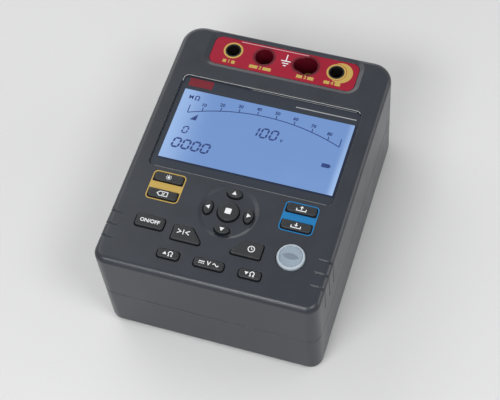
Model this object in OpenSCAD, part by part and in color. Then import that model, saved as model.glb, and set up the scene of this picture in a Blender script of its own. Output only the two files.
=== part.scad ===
/* [Case] */
// Width across the sides
case_w = 155; // [152:1:190]
// Length from the lower edge to the terminal edge
case_l = 202; // [200:1:250]
// Height of the face above the surface it lies on
case_h = 92; // [88:1:115]
// Thickness of the side walls and the base
wall = 2.5; // [2:0.1:3]
// Thickness of the face plate
plate_t = 3; // [2.6:0.1:4]
// Height of the joint between the two halves
split_z = 46; // [44:1:56]
// Corner radius at the terminal end
top_corner_r = 15; // [12:0.5:20]
// Corner radius at the lower end
low_corner_r = 9; // [9:0.5:15]
// Radius that rounds the edge of the face
face_edge_r = 4.5; // [4:0.5:8]
// Radius that rounds the edge of the base
base_edge_r = 5; // [3:0.5:6]
// Height of the tongue that locates the halves
tongue_h = 3; // [2:0.5:5]
// Depth and height of the shadow line round the joint
seam = 0.7; // [0.4:0.1:1]
// Clearance between pieces that fit together
gap = 0.3; // [0.2:0.05:0.4]

/* [Grip grooves] */
// Number of grooves on each side
grip_count = 3; // [1:1:5]
// Distance between grooves
grip_pitch = 9.8; // [6:0.2:12]
// Width of one groove
grip_w = 1.8; // [1:0.1:3]
// Depth of one groove
grip_depth = 0.9; // [0.5:0.1:1.2]
// Length of a groove over the face
grip_reach = 10; // [6:0.5:12]
// Height of a groove down the side
grip_drop = 26; // [10:1:34]
// Distance of the middle groove below the display's centre
grip_y = 88.2; // [84:0.2:92]

/* [Display] */
// Distance of the display's centre above the middle of the case
display_y = 15.5; // [12:0.25:18]
// Width of the visible window
window_w = 123; // [100:1:124]
// Length of the visible window
window_l = 58; // [40:1:60]
// Width of the clear lens
lens_w = 130; // [126:1:134]
// Length of the clear lens
lens_l = 79; // [70:1:80]
// Distance of the lens centre above the display's centre
lens_rise = 1.9; // [0:0.1:3]
// Thickness of the lens
lens_t = 1.6; // [1:0.1:2]
// Corner radius of the lens
lens_r = 4; // [2:0.5:6]
// Step from the face down to the lens
lens_step = 0.2; // [0:0.05:0.4]
// Width of the LCD glass
lcd_w = 127; // [125:1:128]
// Length of the LCD glass
lcd_l = 66; // [62:1:67]
// Thickness of the LCD glass
lcd_t = 2.6; // [1.5:0.1:3]

/* [Terminals] */
// Flat face left between the panel and the rounded terminal edge
panel_margin = 0.6; // [0.2:0.1:4]
// Width of the terminal panel
panel_w = 107; // [100:1:112]
// Length of the terminal panel
panel_l = 24; // [20:0.5:25]
// Distance of the socket row above the panel's centre
socket_rise = 1.8; // [0:0.1:2]
// Corner radius of the terminal panel
panel_r = 5.5; // [3:0.5:8]
// Thickness of the terminal panel
panel_t = 3; // [2:0.1:4]
// Depth of the panel's top below the face
panel_depth = 1.6; // [1:0.1:2.5]
// Width of the sloped border round the panel
border_w = 3.6; // [2:0.2:4]
// Distance of the outer sockets from the middle
outer_socket_x = 38.3; // [34:0.1:40]
// Distance of the inner round socket from the middle
inner_socket_x = 15; // [13:0.1:16]
// Distance of the keyed socket's large circle from the middle
keyed_socket_x = 17; // [16:0.1:18]
// Outer radius of an outer socket
outer_socket_r = 5.65; // [5:0.05:7]
// Inner radius of an outer socket
outer_bore_r = 4.7; // [4.2:0.05:5]
// Inner radius of the inner round socket
inner_bore_r = 6.7; // [6:0.05:7.2]
// Inner radius of the keyed socket's large circle
keyed_bore_r = 7.5; // [6.5:0.05:7.8]
// Inner radius of the keyed socket's small circle
key_lobe_r = 5.8; // [5:0.05:6.5]
// Distance between the keyed socket's two circles
key_lobe_x = 4.6; // [3:0.1:6]
// Wall of the red sockets
socket_wall = 1.5; // [1:0.1:2]
// Depth of the sockets below the panel's top
socket_depth = 32; // [26:1:36]
// Diameter of the hole that takes a test plug
plug_d = 4.1; // [3.9:0.05:4.3]
// Outer diameter of the brass contact
contact_d = 6; // [5.5:0.1:7]
// Depth of the contact's mouth below the panel's top
contact_drop = 12; // [5:0.5:14]

/* [Keys] */
// Height of the flat keys above the face
key_rise = 1.6; // [1:0.1:2]
// Height of the test button above the face
test_rise = 2; // [1.5:0.1:3]
// Travel of every key
key_travel = 1; // [0.6:0.1:1.4]
// Radius that rounds a key's top edge
key_edge_r = 1.2; // [0.4:0.1:1.2]
// Clearance round a key in the face
key_gap = 0.6; // [0.3:0.05:0.6]
// Width of the lip that holds a key under the face
lip = 1.1; // [0.8:0.1:1.2]
// Thickness of that lip
lip_t = 1.2; // [0.8:0.1:1.6]
// Distance of the left and right key pairs from the middle
pair_x = 46.75; // [44:0.25:48]
// Distance of the upper pair keys below the display's centre
pair_high = 45.5; // [44:0.25:46]
// Distance of the lower pair keys below the display's centre
pair_low = 58.75; // [58:0.25:62]
// Width of a pair key
pair_w = 20.5; // [16:0.5:22]
// Length of a pair key
pair_l = 6.6; // [5:0.2:8]
// Distance of the arrow pad's centre below the display's centre
pad_drop = 59.6; // [58:0.2:62]
// Radius of the dish round the arrow keys
pad_r = 20.5; // [19:0.5:22]
// Depth of that dish
pad_depth = 1; // [0.4:0.1:1.2]
// Width of that dish's sloped border
pad_slope = 2.4; // [1:0.1:2.6]
// Distance of the arrow keys from the pad's centre
arrow_reach = 14.2; // [13.8:0.2:15]
// Width of an arrow key
arrow_w = 10.4; // [8:0.2:12]
// Length of an arrow key
arrow_l = 6.2; // [5:0.2:7]
// Radius of the stop key
stop_r = 7.3; // [6:0.1:7.6]
// Distance of the power key from the middle
power_x = 47.8; // [46:0.2:50]
// Distance of the power key below the display's centre
power_drop = 81; // [80:0.2:84]
// Width of the power key
power_w = 20; // [16:0.5:22]
// Length of the power key
power_l = 9; // [7:0.2:10]
// Distance of the test button from the middle
test_x = 50; // [48:0.2:52]
// Distance of the test button below the display's centre
test_drop = 81.8; // [80:0.2:84]
// Radius of the test button
test_r = 9.4; // [8:0.1:10]
// Distance of a wedge key's straight side from the middle
wedge_outer = 31; // [28:0.2:32]
// Distance of a wedge key's upper inner corner from the middle
wedge_inner = 18.2; // [16:0.2:20]
// Distance of a wedge key's tip from the middle
wedge_tip = 10.7; // [9:0.1:12]
// Distance of a wedge key's top below the display's centre
wedge_high = 78.3; // [77:0.1:80]
// Distance of a wedge key's bend below the display's centre
wedge_bend = 86.8; // [85:0.1:86.9]
// Distance of a wedge key's foot below the display's centre
wedge_low = 89.4; // [89:0.1:91]
// Distance of the mode keys below the display's centre
mode_drop = 101; // [99:0.2:102]
// Distance of the outer mode keys from the middle
mode_x = 28; // [26:0.2:32]
// Width of an outer mode key
mode_w = 15; // [12:0.5:17]
// Width of the middle mode key
mode_mid_w = 20.5; // [16:0.5:22]
// Length of a mode key
mode_l = 6.4; // [5:0.2:7]
// Corner radius of the flat keys
key_corner_r = 2; // [1.2:0.1:2.4]
// Thickness of the keypad mat
mat_t = 2; // [1:0.1:3]
// Free space between a pressed key and the mat
mat_room = 0.4; // [0.3:0.1:0.8]
// Width of the keypad mat
mat_w = 124; // [120:1:126]
// Length of the keypad mat
mat_l = 75; // [74:1:76]
// Distance of the keypad mat's centre below the display's centre
mat_drop = 74.5; // [74:0.5:75]

/* [Boards] */
// Width of the main board
board_w = 129; // [126:0.5:130]
// Length of the main board
board_l = 155; // [152:1:156]
// Thickness of the boards
board_t = 1.6; // [1.2:0.1:2]
// Distance of the main board's centre below the display's centre
board_drop = 36; // [35:0.5:37]
// Distance of the corner bosses from the middle
boss_x = 57.5; // [56:0.5:58]
// Distance of the middle bosses from the middle
mid_boss_x = 28; // [26:0.5:29]
// Distance of the upper bosses above the display's centre
boss_high = 37.2; // [37:0.1:38]
// Distance of the middle bosses below the display's centre
boss_mid = 43.5; // [42:0.5:44]
// Distance of the lower bosses below the display's centre
boss_low = 107.5; // [107:0.5:108]
// Radius of a board boss
boss_r = 3.2; // [3:0.1:3.5]
// Diameter of a board screw
board_screw_d = 2.4; // [2:0.1:2.8]

/* [Battery] */
// Diameter of a cell
cell_d = 26.2; // [20:0.1:26.4]
// Length of a cell with its button
cell_l = 50; // [44:0.5:51]
// Columns of cells
cell_columns = 4; // [2:1:4]
// Cells in one column
cells_deep = 2; // [1:1:2]
// Free space between columns
cell_space = 1; // [0.6:0.1:1.2]
// Room for a contact at each end of a column
contact_room = 4; // [3:0.5:5]
// Distance of the battery bay's centre below the middle of the case
bay_drop = 23; // [20:0.5:24]
// Thickness of the battery cover
cover_t = 3; // [2.6:0.1:3.5]
// Height of the cradle ribs on the cover
cradle_h = 6; // [3:0.5:8]
// Free height between the cover and the cells
cell_lift = 2; // [1:0.5:3]
// Width of the cover's rim beyond the bay
cover_lip = 3; // [2:0.5:4]
// Length of the cover's screw end beyond the bay
cover_end = 12; // [10:0.5:13]
// Number of grip grooves across the cover's screw end
cover_grips = 4; // [2:1:4]
// Length of the bare field sunk into the cover
field_l = 44; // [30:1:60]
// Width of that field
field_w = 76; // [50:1:90]
// Distance of the cover screws from the middle
cover_screw_x = 45; // [20:1:48]
// Diameter of the cover and case screws
screw_d = 3; // [2.5:0.1:3.5]

/* [Stand and feet] */
// Width of the tilt stand
stand_w = 70; // [50:1:80]
// Length of the tilt stand from hinge to free edge
stand_l = 40; // [30:1:42]
// Thickness of the tilt stand
stand_t = 4.5; // [3.5:0.1:5]
// Distance of the hinge above the middle of the case
hinge_y = 47; // [46:0.5:50]
// Diameter of the stand's hinge pins
pin_d = 3.2; // [2.4:0.1:3.6]
// Radial running clearance of the hinge pins
pin_gap = 0.08; // [0.04:0.01:0.1]
// Height of the feet below the base
foot_h = 2; // [1.5:0.1:3]
// Radius of a foot
foot_r = 5.5; // [4:0.1:6]
// Depth of the recess that holds a foot
foot_recess = 1; // [0.6:0.1:1.4]
// Distance of the lower feet from the case's sides
foot_side = 11.5; // [11:0.5:14]
// Distance of the upper feet from the case's sides
foot_high_side = 15.5; // [15:0.5:20]
// Distance of the lower feet from the lower edge
foot_low = 10.8; // [10.6:0.1:14]
// Distance of the upper feet from the terminal edge
foot_high = 13; // [12:0.5:16]

/* [Case posts] */
// Radius of a case post
post_r = 4.2; // [3.8:0.1:4.4]
// Distance of the posts from the case's sides
post_side = 8; // [7.5:0.1:9]
// Distance of the end posts from the case's ends
post_end = 26; // [24:0.5:30]
// Length of the case screws
screw_l = 20; // [14:1:24]
// Engagement of a case screw in the front post
screw_bite = 10; // [8:0.5:12]

/* [Hidden] */
corner_steps = 8;
edge_steps = 8;
key_edge_steps = 4;
oval_steps = 32;
least_r = 0.3;
cut = 1;
$fn = 48;

case_grey = [0.20, 0.20, 0.22];
panel_red = [0.72, 0.10, 0.18];
key_black = [0.07, 0.07, 0.08];
test_grey = [0.62, 0.68, 0.74];
board_green = [0.05, 0.32, 0.16];
brass = [0.80, 0.62, 0.28];
steel = [0.72, 0.72, 0.74];
rubber = [0.05, 0.05, 0.05];

floor_z = foot_h;
under_z = case_h - plate_t;
stack = lip_t + key_travel + mat_room + mat_t;
lens_z = case_h - lens_step - lens_t;
board_top = under_z - stack;
board_z = board_top - board_t;
board_y = display_y - board_drop;
board_r = 1;
lamp_inset = 1;

panel_y = case_l / 2 - face_edge_r - panel_margin - panel_l / 2;
socket_y = panel_y + socket_rise;
panel_top = case_h - panel_depth;
panel_z = panel_top - panel_t;
socket_gap = 0.1;
socket_flange = 1.5;
socket_flange_t = 2;
socket_floor = 3;
socket_z = panel_top - socket_depth;
contact_seat = socket_z + socket_floor;
contact_top = panel_top - contact_drop;
contact_base_t = 1.2;
contact_base_r = contact_d / 2 + 1;
contact_blind = 2.5;
contact_tail_d = 3;
contact_tail = 3;
flange_w = 3;

bay_w = cell_columns * (cell_d + cell_space) + cell_space;
bay_l = cells_deep * cell_l + 2 * contact_room;
bay_y = -bay_drop;
bay_wall = 2;
cell_z = floor_z + cover_t + cell_lift + cell_d / 2;
bay_top = cell_z + cell_d / 2 + gap;
cover_w = bay_w + 2 * cover_lip;
cover_high = bay_y + bay_l / 2 + cover_lip;
cover_low = bay_y - bay_l / 2 - cover_end;
cover_r = 3;
frame_rim = 2.5;
tab_w = 16;
tab_l = 3;
tab_t = 1.2;
tab_x = 30;
cover_screw_y = cover_low + cover_end / 2;
cover_boss_h = 9;
cover_screw_l = 9;
cover_grip_w = 56;
cover_grip_l = 1.3;
cover_grip_pitch = 2.5;
cover_grip_depth = 0.7;
field_r = 2.5;
field_depth = 0.35;

stand_sink = 0.4;
hinge_z = floor_z + stand_sink + stand_t / 2;
pocket_gap = 0.4;
pin_l = 2.5;
pocket_wall = 2.5;
pocket_top = floor_z + stand_sink + stand_t + pocket_gap;
notch_w = 26;
notch_l = 5;

head_gap = 0.4;
thread_gap = 0.05;
blind_room = 2;
screw_head_z = split_z + screw_bite - screw_l;
post_x = case_w / 2 - post_side;
posts = [for (x = [-post_x, post_x], y = [-case_l / 2 + post_end, 0, case_l / 2 - post_end]) [x, y]];
bosses = [
    for (s = [-1, 1])
        each [
            [s * boss_x, display_y + boss_high],
            [s * mid_boss_x, display_y - boss_mid],
            [s * boss_x, display_y - boss_low]
        ]
];
feet = [
    [-case_w / 2 + foot_side, -case_l / 2 + foot_low],
    [case_w / 2 - foot_side, -case_l / 2 + foot_low],
    [-case_w / 2 + foot_high_side, case_l / 2 - foot_high],
    [case_w / 2 - foot_high_side, case_l / 2 - foot_high]
];

pair_shape = box_points(pair_w, pair_l);
power_shape = box_points(power_w, power_l);
mode_shape = box_points(mode_w, mode_l);
mode_mid_shape = box_points(mode_mid_w, mode_l);
wedge_left = [
    [-wedge_outer, -wedge_high],
    [-wedge_outer, -wedge_low],
    [-wedge_tip, -wedge_low],
    [-wedge_tip, -wedge_bend],
    [-wedge_inner, -wedge_high]
];
wedge_right = [for (i = [len(wedge_left) - 1:-1:0]) [-wedge_left[i].x, wedge_left[i].y]];
wedge_r = 1.2;

// Each key has a name, a shape, a corner radius, a place from the display's centre and a rise.
// A list of points is a flat key, a pair of numbers is an oval and one number is a round key.
pad_key_rise = key_rise - pad_depth / 2;
keys = [
    ["light_key", pair_shape, key_corner_r, [-pair_x, -pair_high], key_rise],
    ["clear_key", pair_shape, key_corner_r, [-pair_x, -pair_low], key_rise],
    ["load_key", pair_shape, key_corner_r, [pair_x, -pair_high], key_rise],
    ["save_key", pair_shape, key_corner_r, [pair_x, -pair_low], key_rise],
    ["up_key", [arrow_w, arrow_l], 0, [0, -pad_drop + arrow_reach], pad_key_rise],
    ["down_key", [arrow_w, arrow_l], 0, [0, -pad_drop - arrow_reach], pad_key_rise],
    ["left_key", [arrow_l, arrow_w], 0, [-arrow_reach, -pad_drop], pad_key_rise],
    ["right_key", [arrow_l, arrow_w], 0, [arrow_reach, -pad_drop], pad_key_rise],
    ["stop_key", stop_r, 0, [0, -pad_drop], pad_key_rise],
    ["power_key", power_shape, key_corner_r, [-power_x, -power_drop], key_rise],
    ["compare_key", wedge_left, wedge_r, [0, 0], key_rise],
    ["timer_key", wedge_right, wedge_r, [0, 0], key_rise],
    ["insulation_key", mode_shape, key_corner_r, [-mode_x, -mode_drop], key_rise],
    ["voltage_key", mode_mid_shape, key_corner_r, [0, -mode_drop], key_rise],
    ["low_ohm_key", mode_shape, key_corner_r, [mode_x, -mode_drop], key_rise],
    ["test_button", test_r, 0, [test_x, -test_drop], test_rise]
];
sockets = ["socket_1", "socket_2", "socket_3", "socket_4"];
socket_x = [-outer_socket_x, -inner_socket_x, keyed_socket_x, outer_socket_x];
cell_total = cell_columns * cells_deep;
foot_names = ["foot_low_left", "foot_low_right", "foot_high_left", "foot_high_right"];

stem_inset = 1;
stem_z = board_top + key_travel + gap;
ring_r = 0.84 * test_r;
ring_w = 0.5;
ring_depth = 0.35;
ring_dish = 0.15;

core_w = 34;
core_l = 16;
core_h = 26;
core_leg = 10;
core_yoke = 5;
core_window = 6;
turns_r = 2;
core_place = [-24, 12, 0];

can_r = 6;
can_h = 22;
can_groove = 0.6;
can_places = [[18, 26], [33, 26], [18, 10], [33, 10]];

relay_size = [20, 16, 15];
relay_r = 1;
relay_places = [[18, -9], [42, -9]];

buzzer_r = 7;
buzzer_h = 7;
buzzer_hole_r = 1;
buzzer_hole_depth = 3;
buzzer_place = [-44, -30, 0];

chip_w = 14;
chip_t = 1.6;
chip_r = 0.5;
chip_place = [-12, -34, 0];

button_h = 1.5;
button_r = 3.2;
shoulder = 0.8;

strip_t = 0.5;
strip_w = 10;
strip_h = 18;

stand_rim = 6;
stand_skin = 2;
stand_rib = 2;

// Corners of a rectangle, counter-clockwise from the upper right
function box_points(w, l) = [[w, l] / 2, [-w, l] / 2, [-w, -l] / 2, [w, -l] / 2];

// Outward normal of the side that starts at corner i
function normal_at(p, i) =
    let (e = p[(i + 1) % len(p)] - p[i % len(p)])
    [e.y, -e.x] / norm(e);

// A convex outline moved out by d on every side
function grown(p, d) = [
    for (i = [0:len(p) - 1])
        let (a = normal_at(p, i + len(p) - 1), b = normal_at(p, i))
        p[i] + (a + b) * d / (1 + a * b)
];

// A convex outline with every corner turned into an arc, of one radius or of one for each corner
function rounded(p, r) = [
    for (i = [0:len(p) - 1])
        let (
            a = normal_at(p, i + len(p) - 1),
            b = normal_at(p, i),
            corner_r = is_list(r) ? r[i] : r,
            centre = p[i] - (a + b) * corner_r / (1 + a * b),
            from = atan2(a.y, a.x),
            turn = (atan2(b.y, b.x) - from + 360) % 360
        )
        for (k = [0:corner_steps])
            let (angle = from + turn * k / corner_steps)
            centre + corner_r * [cos(angle), sin(angle)]
];

function outline(p, r, d) = rounded(grown(p, d), max(r + d, least_r));

function oval(size, d) = [
    for (i = [0:oval_steps - 1])
        let (angle = 360 * i / oval_steps)
        [(size.x / 2 + d) * cos(angle), (size.y / 2 + d) * sin(angle)]
];

// The case's plan, moved in by d
function case_outline(d) = rounded(
    grown(box_points(case_w, case_l), -d),
    [for (r = [top_corner_r, top_corner_r, low_corner_r, low_corner_r]) max(r - d, least_r)]
);

// Steps of a rounded edge: how far in and how far from the end
function edge_arc(r, steps) = [
    for (i = [0:steps]) [r * (1 - sin(90 * i / steps)), r * (1 - cos(90 * i / steps))]
];

// Sections of the case with its upper edge rounded
function crowned(z0, z1, r, d) = concat(
    [[z0, case_outline(d)]],
    [for (i = [edge_steps:-1:0]) let (e = edge_arc(r, edge_steps)[i]) [z1 - e.y, case_outline(d + e.x)]]
);

// Sections of the case with its lower edge rounded
function footed(z0, z1, r, d) = concat(
    [for (e = edge_arc(r, edge_steps)) [z0 + e.y, case_outline(d + e.x)]],
    [[z1, case_outline(d)]]
);

// A solid through matching rings of points
module skin(rings) {
    n = len(rings[0]);
    last = len(rings) - 1;
    polyhedron(
        points = [for (ring = rings) each ring],
        faces = concat(
            [[for (i = [0:n - 1]) i]],
            [[for (i = [n - 1:-1:0]) last * n + i]],
            [
                for (s = [0:last - 1]) for (i = [0:n - 1])
                    let (j = (i + 1) % n)
                    [s * n + i, (s + 1) * n + i, (s + 1) * n + j, s * n + j]
            ]
        )
    );
}

// A solid through matching outlines, listed from the lowest to the highest
module loft(sections) {
    skin([for (s = sections) [for (q = s[1]) [q.x, q.y, s[0]]]]);
}

// A plate with rounded corners, its lower corner height at z
module plate(w, l, r, z, t) {
    translate([0, 0, z]) linear_extrude(t) polygon(outline(box_points(w, l), r, 0));
}

module block(w, l, z, t) {
    translate([-w / 2, -l / 2, z]) cube([w, l, t]);
}

module rod(r, z0, z1) {
    translate([0, 0, z0]) cylinder(r = r, h = z1 - z0);
}

module at_each(places) {
    for (p = places) translate([p.x, p.y, 0]) children();
}

// Proportions of a pan-head screw of diameter d
function head_r(d) = 0.95 * d;
function head_t(d) = 0.75 * d;
function slot_w(d) = 0.25 * d;
function slot_l(d) = 1.3 * d;
function slot_t(d) = 0.4 * d;

// A pan-head screw with a cross recess, its head below z and its shank above
module screw(d, length, z) {
    difference() {
        union() {
            rod(head_r(d), z - head_t(d), z);
            rod(d / 2, z, z + length);
        }
        for (turn = [0, 90])
            rotate(turn) block(slot_l(d), slot_w(d), z - head_t(d) - cut, cut + slot_t(d));
    }
}

function key_place(k) = [k[3].x, display_y + k[3].y, 0];
function is_round(k) = is_num(k[1]);
function key_outline(k, d) = is_num(k[1][0]) ? oval(k[1], d) : outline(k[1], k[2], d);

// A key's plan grown by d, extruded
module key_prism(k, d, z0, z1) {
    if (is_round(k))
        rod(k[1] + d, z0, z1);
    else
        translate([0, 0, z0]) linear_extrude(z1 - z0) polygon(key_outline(k, d));
}

// A key's cap with a rounded top edge
module key_cap(k, z0, z1) {
    arcs = edge_arc(key_edge_r, key_edge_steps);
    if (is_round(k))
        rotate_extrude() polygon(concat(
            [[0, z0], [k[1], z0]],
            [for (i = [key_edge_steps:-1:0]) [k[1] - arcs[i].x, z1 - arcs[i].y]],
            [[0, z1]]
        ));
    else
        loft(concat(
            [[z0, key_outline(k, 0)]],
            [for (i = [key_edge_steps:-1:0]) [z1 - arcs[i].y, key_outline(k, -arcs[i].x)]]
        ));
}

// A key: cap through the face, lip under it and a stem through the mat
module key(k) {
    top = case_h + k[4];
    color(k[0] == "test_button" ? test_grey : key_black)
        translate(key_place(k))
            difference() {
                union() {
                    key_cap(k, under_z - lip_t, top);
                    key_prism(k, lip, under_z - lip_t, under_z);
                    key_prism(k, -stem_inset, stem_z, under_z - lip_t + least_r);
                }
                if (k[0] == "test_button") {
                    difference() {
                        rod(ring_r, top - ring_depth, top + cut);
                        rod(ring_r - ring_w, top - ring_depth - cut, top + 2 * cut);
                    }
                    rod(ring_r - 2 * ring_w, top - ring_dish, top + cut);
                }
            }
}

// Rings of a V groove that runs over the rounded edge of the face and down one side
function grip_rings(side, y) =
    let (
        turn = [case_w / 2 - face_edge_r, case_h - face_edge_r],
        path = concat(
            [[[case_w / 2 - grip_reach, case_h], [0, 1]]],
            [
                for (i = [edge_steps:-1:0])
                    let (angle = 90 * i / edge_steps, out = [cos(angle), sin(angle)])
                    [turn + face_edge_r * out, out]
            ],
            [[[case_w / 2, case_h - grip_drop], [1, 0]]]
        ),
        half = grip_w / 2 * (1 + cut / grip_depth)
    )
    [
        for (step = path)
            let (top = step[0] + cut * step[1], foot = step[0] - grip_depth * step[1])
            [
                [side * top.x, y + side * half, top.y],
                [side * top.x, y - side * half, top.y],
                [side * foot.x, y, foot.y]
            ]
    ];

module grip_cuts() {
    for (side = [-1, 1], i = [0:grip_count - 1])
        skin(grip_rings(side, display_y - grip_y + (i - (grip_count - 1) / 2) * grip_pitch));
}

module front_case() {
    panel_shape = box_points(panel_w, panel_l);
    color(case_grey)
        difference() {
            union() {
                difference() {
                    loft(crowned(split_z, case_h, face_edge_r, 0));
                    loft(crowned(split_z - cut, under_z, face_edge_r - wall, wall));
                }
                at_each(posts) rod(post_r, split_z, under_z + plate_t / 3);
                at_each(bosses) rod(boss_r, board_top, under_z + plate_t / 3);
            }
            // Rebate for the rear half's tongue
            translate([0, 0, split_z - cut])
                linear_extrude(cut + tongue_h + gap)
                    difference() {
                        polygon(case_outline(wall / 2));
                        polygon(case_outline(wall + cut / 2));
                        at_each(posts) circle(post_r);
                    }
            at_each(posts) rod(screw_d / 2 + thread_gap, split_z - cut, split_z + screw_bite + blind_room);
            at_each(bosses) rod(board_screw_d / 2 + thread_gap, board_top - cut, under_z);
            translate([0, display_y, 0]) {
                block(window_w, window_l, under_z - cut, plate_t + 2 * cut);
                translate([0, lens_rise, 0])
                    plate(lens_w + 2 * gap, lens_l + 2 * gap, lens_r, lens_z, lens_t + cut);
                translate([0, -pad_drop, case_h - pad_depth])
                    cylinder(r1 = pad_r - pad_slope, r2 = pad_r + pad_slope * cut / pad_depth,
                        h = pad_depth + cut);
            }
            for (k = keys) translate(key_place(k)) key_prism(k, key_gap, under_z - cut, case_h + cut);
            translate([0, panel_y, 0]) {
                translate([0, 0, under_z - cut])
                    linear_extrude(plate_t + 2 * cut) polygon(outline(panel_shape, panel_r, gap));
                loft([
                    [panel_top, outline(panel_shape, panel_r, gap)],
                    [case_h, outline(panel_shape, panel_r, border_w)],
                    [case_h + cut, outline(panel_shape, panel_r, border_w)]
                ]);
            }
            grip_cuts();
        }
}

module bay_solid() {
    translate([0, bay_y, 0])
        block(bay_w + 2 * bay_wall, bay_l + 2 * bay_wall, floor_z, bay_top + bay_wall - floor_z);
}

module cover_zone(rim, z, t) {
    translate([0, (cover_high + cover_low) / 2, 0])
        plate(cover_w + 2 * rim, cover_high - cover_low + 2 * rim, cover_r, z, t);
}

// Ribs across the bay, shaped to the cells
module cradles(z, h) {
    difference() {
        for (i = [0:cells_deep - 1], s = [-1, 1])
            translate([0, bay_y + (i - (cells_deep - 1) / 2) * cell_l + s * cell_l / 4, 0])
                block(bay_w - 2 * gap, bay_wall, z, h);
        for (i = [0:cell_columns - 1])
            translate([column_x(i), bay_y, cell_z])
                rotate([90, 0, 0]) cylinder(r = cell_d / 2 + gap, h = bay_l, center = true);
    }
}

function column_x(i) = (i - (cell_columns - 1) / 2) * (cell_d + cell_space);

module pocket_cut() {
    y0 = hinge_y - stand_t / 2 - pocket_gap;
    y1 = hinge_y + stand_l + pocket_gap;
    translate([0, (y0 + y1) / 2, 0])
        block(stand_w + 2 * pocket_gap, y1 - y0, floor_z - cut, pocket_top - floor_z + cut);
    translate([0, y1, 0]) plate(notch_w, 2 * notch_l, notch_l / 2, floor_z - cut, cut + wall);
}

module pocket_solid() {
    y0 = hinge_y - stand_t / 2 - pocket_gap - pocket_wall;
    y1 = hinge_y + stand_l + pocket_gap + pocket_wall;
    translate([0, (y0 + y1) / 2, 0])
        block(stand_w + 2 * pocket_gap + 2 * pocket_wall, y1 - y0, floor_z, pocket_top + wall - floor_z);
    translate([0, hinge_y + stand_l + pocket_gap, 0])
        plate(notch_w + 2 * wall, 2 * (notch_l + wall), notch_l / 2 + wall, floor_z, 2 * wall);
}

module hinge_line(r, length) {
    translate([0, hinge_y, hinge_z]) rotate([0, 90, 0]) cylinder(r = r, h = length, center = true);
}

module rear_case() {
    inner_edge_r = max(base_edge_r - wall, least_r);
    color(case_grey) {
        difference() {
            union() {
                difference() {
                    union() {
                        loft(footed(floor_z, split_z - seam, base_edge_r, 0));
                        translate([0, 0, split_z - seam - cut / 2])
                            linear_extrude(seam + cut / 2) polygon(case_outline(seam));
                        translate([0, 0, split_z - cut])
                            linear_extrude(tongue_h + cut) polygon(case_outline(wall / 2 + gap));
                    }
                    loft(footed(floor_z + wall, split_z + tongue_h + cut, inner_edge_r, wall));
                }
                at_each(posts) rod(post_r, floor_z + wall / 2, split_z);
                bay_solid();
                cover_zone(frame_rim, floor_z, cover_t + frame_rim);
                translate([0, cover_high + frame_rim, 0])
                    block(2 * tab_x + tab_w + 2 * frame_rim, 2 * (tab_l + gap), floor_z, cover_t + frame_rim);
                for (s = [-1, 1])
                    translate([s * cover_screw_x, cover_screw_y, 0])
                        rod(post_r, floor_z + cover_t, floor_z + cover_t + cover_boss_h);
                pocket_solid();
            }
            translate([0, bay_y, 0]) block(bay_w, bay_l, floor_z - cut, bay_top - floor_z + cut);
            cover_zone(gap, floor_z - cut, cover_t + cut);
            for (s = [-1, 1]) {
                translate([s * tab_x, cover_high, 0])
                    block(tab_w + 2 * gap, 2 * (tab_l + gap), floor_z + cover_t - tab_t - gap, tab_t + gap);
                translate([s * cover_screw_x, cover_screw_y, 0])
                    rod(screw_d / 2 + thread_gap, floor_z, floor_z + cover_t + cover_boss_h - cut);
            }
            pocket_cut();
            hinge_line(pin_d / 2 + pin_gap, stand_w + 2 * pocket_gap + 2 * pocket_wall + cut);
            at_each(feet) rod(foot_r + gap, floor_z - cut, floor_z + foot_recess);
            at_each(posts) {
                rod(screw_d / 2 + gap, floor_z, split_z + cut);
                rod(head_r(screw_d) + head_gap, floor_z - cut, screw_head_z);
            }
        }
        cradles(cell_z, bay_top - cell_z + bay_wall / 2);
    }
}

module case_screws() {
    color(steel) at_each(posts) screw(screw_d, screw_l, screw_head_z);
}

module terminal_panel() {
    shape = box_points(panel_w, panel_l);
    color(panel_red)
        difference() {
            translate([0, panel_y, 0]) {
                translate([0, 0, panel_z]) linear_extrude(panel_t) polygon(outline(shape, panel_r, 0));
                translate([0, -flange_w / 2, 0])
                    plate(panel_w + 2 * flange_w, panel_l + flange_w, panel_r, panel_z, under_z - panel_z);
            }
            for (i = [0:3])
                translate([socket_x[i], socket_y, 0])
                    socket_shape(i, socket_gap, true, panel_z - cut, panel_top + cut);
        }
}

// The outer or inner plan of a socket, grown by d and extruded
module socket_shape(i, d, outer, z0, z1) {
    t = d + (outer ? socket_wall : 0);
    if (i == 0 || i == 3)
        rod((outer ? outer_socket_r : outer_bore_r) + d, z0, z1);
    if (i == 1)
        rod(inner_bore_r + t, z0, z1);
    if (i == 2) {
        rod(keyed_bore_r + t, z0, z1);
        translate([-key_lobe_x, 0, 0]) rod(key_lobe_r + t, z0, z1);
    }
}

module socket(i) {
    color(i == 0 || i == 3 ? key_black : panel_red)
        translate([socket_x[i], socket_y, 0])
            difference() {
                union() {
                    socket_shape(i, 0, true, socket_z, panel_top);
                    socket_shape(i, socket_flange, true, panel_z - socket_flange_t, panel_z);
                }
                socket_shape(i, 0, false, contact_seat, panel_top + cut);
                rod(contact_tail_d / 2 + gap, socket_z - cut, contact_seat + cut);
            }
}

module contact(i) {
    color(brass)
        translate([socket_x[i], socket_y, 0])
            difference() {
                union() {
                    rod(contact_d / 2, contact_seat, contact_top);
                    rod(contact_base_r, contact_seat, contact_seat + contact_base_t);
                    rod(contact_tail_d / 2, socket_z - board_t - contact_tail, contact_seat + contact_base_t);
                }
                rod(plug_d / 2, contact_seat + contact_blind, contact_top + cut);
            }
}

module terminal_board() {
    color(board_green)
        difference() {
            translate([0, socket_y, 0]) plate(panel_w, panel_l, board_r, socket_z - board_t, board_t);
            for (x = socket_x) translate([x, socket_y, 0]) rod(contact_tail_d / 2 + gap, 0, socket_z + cut);
        }
}

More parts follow.
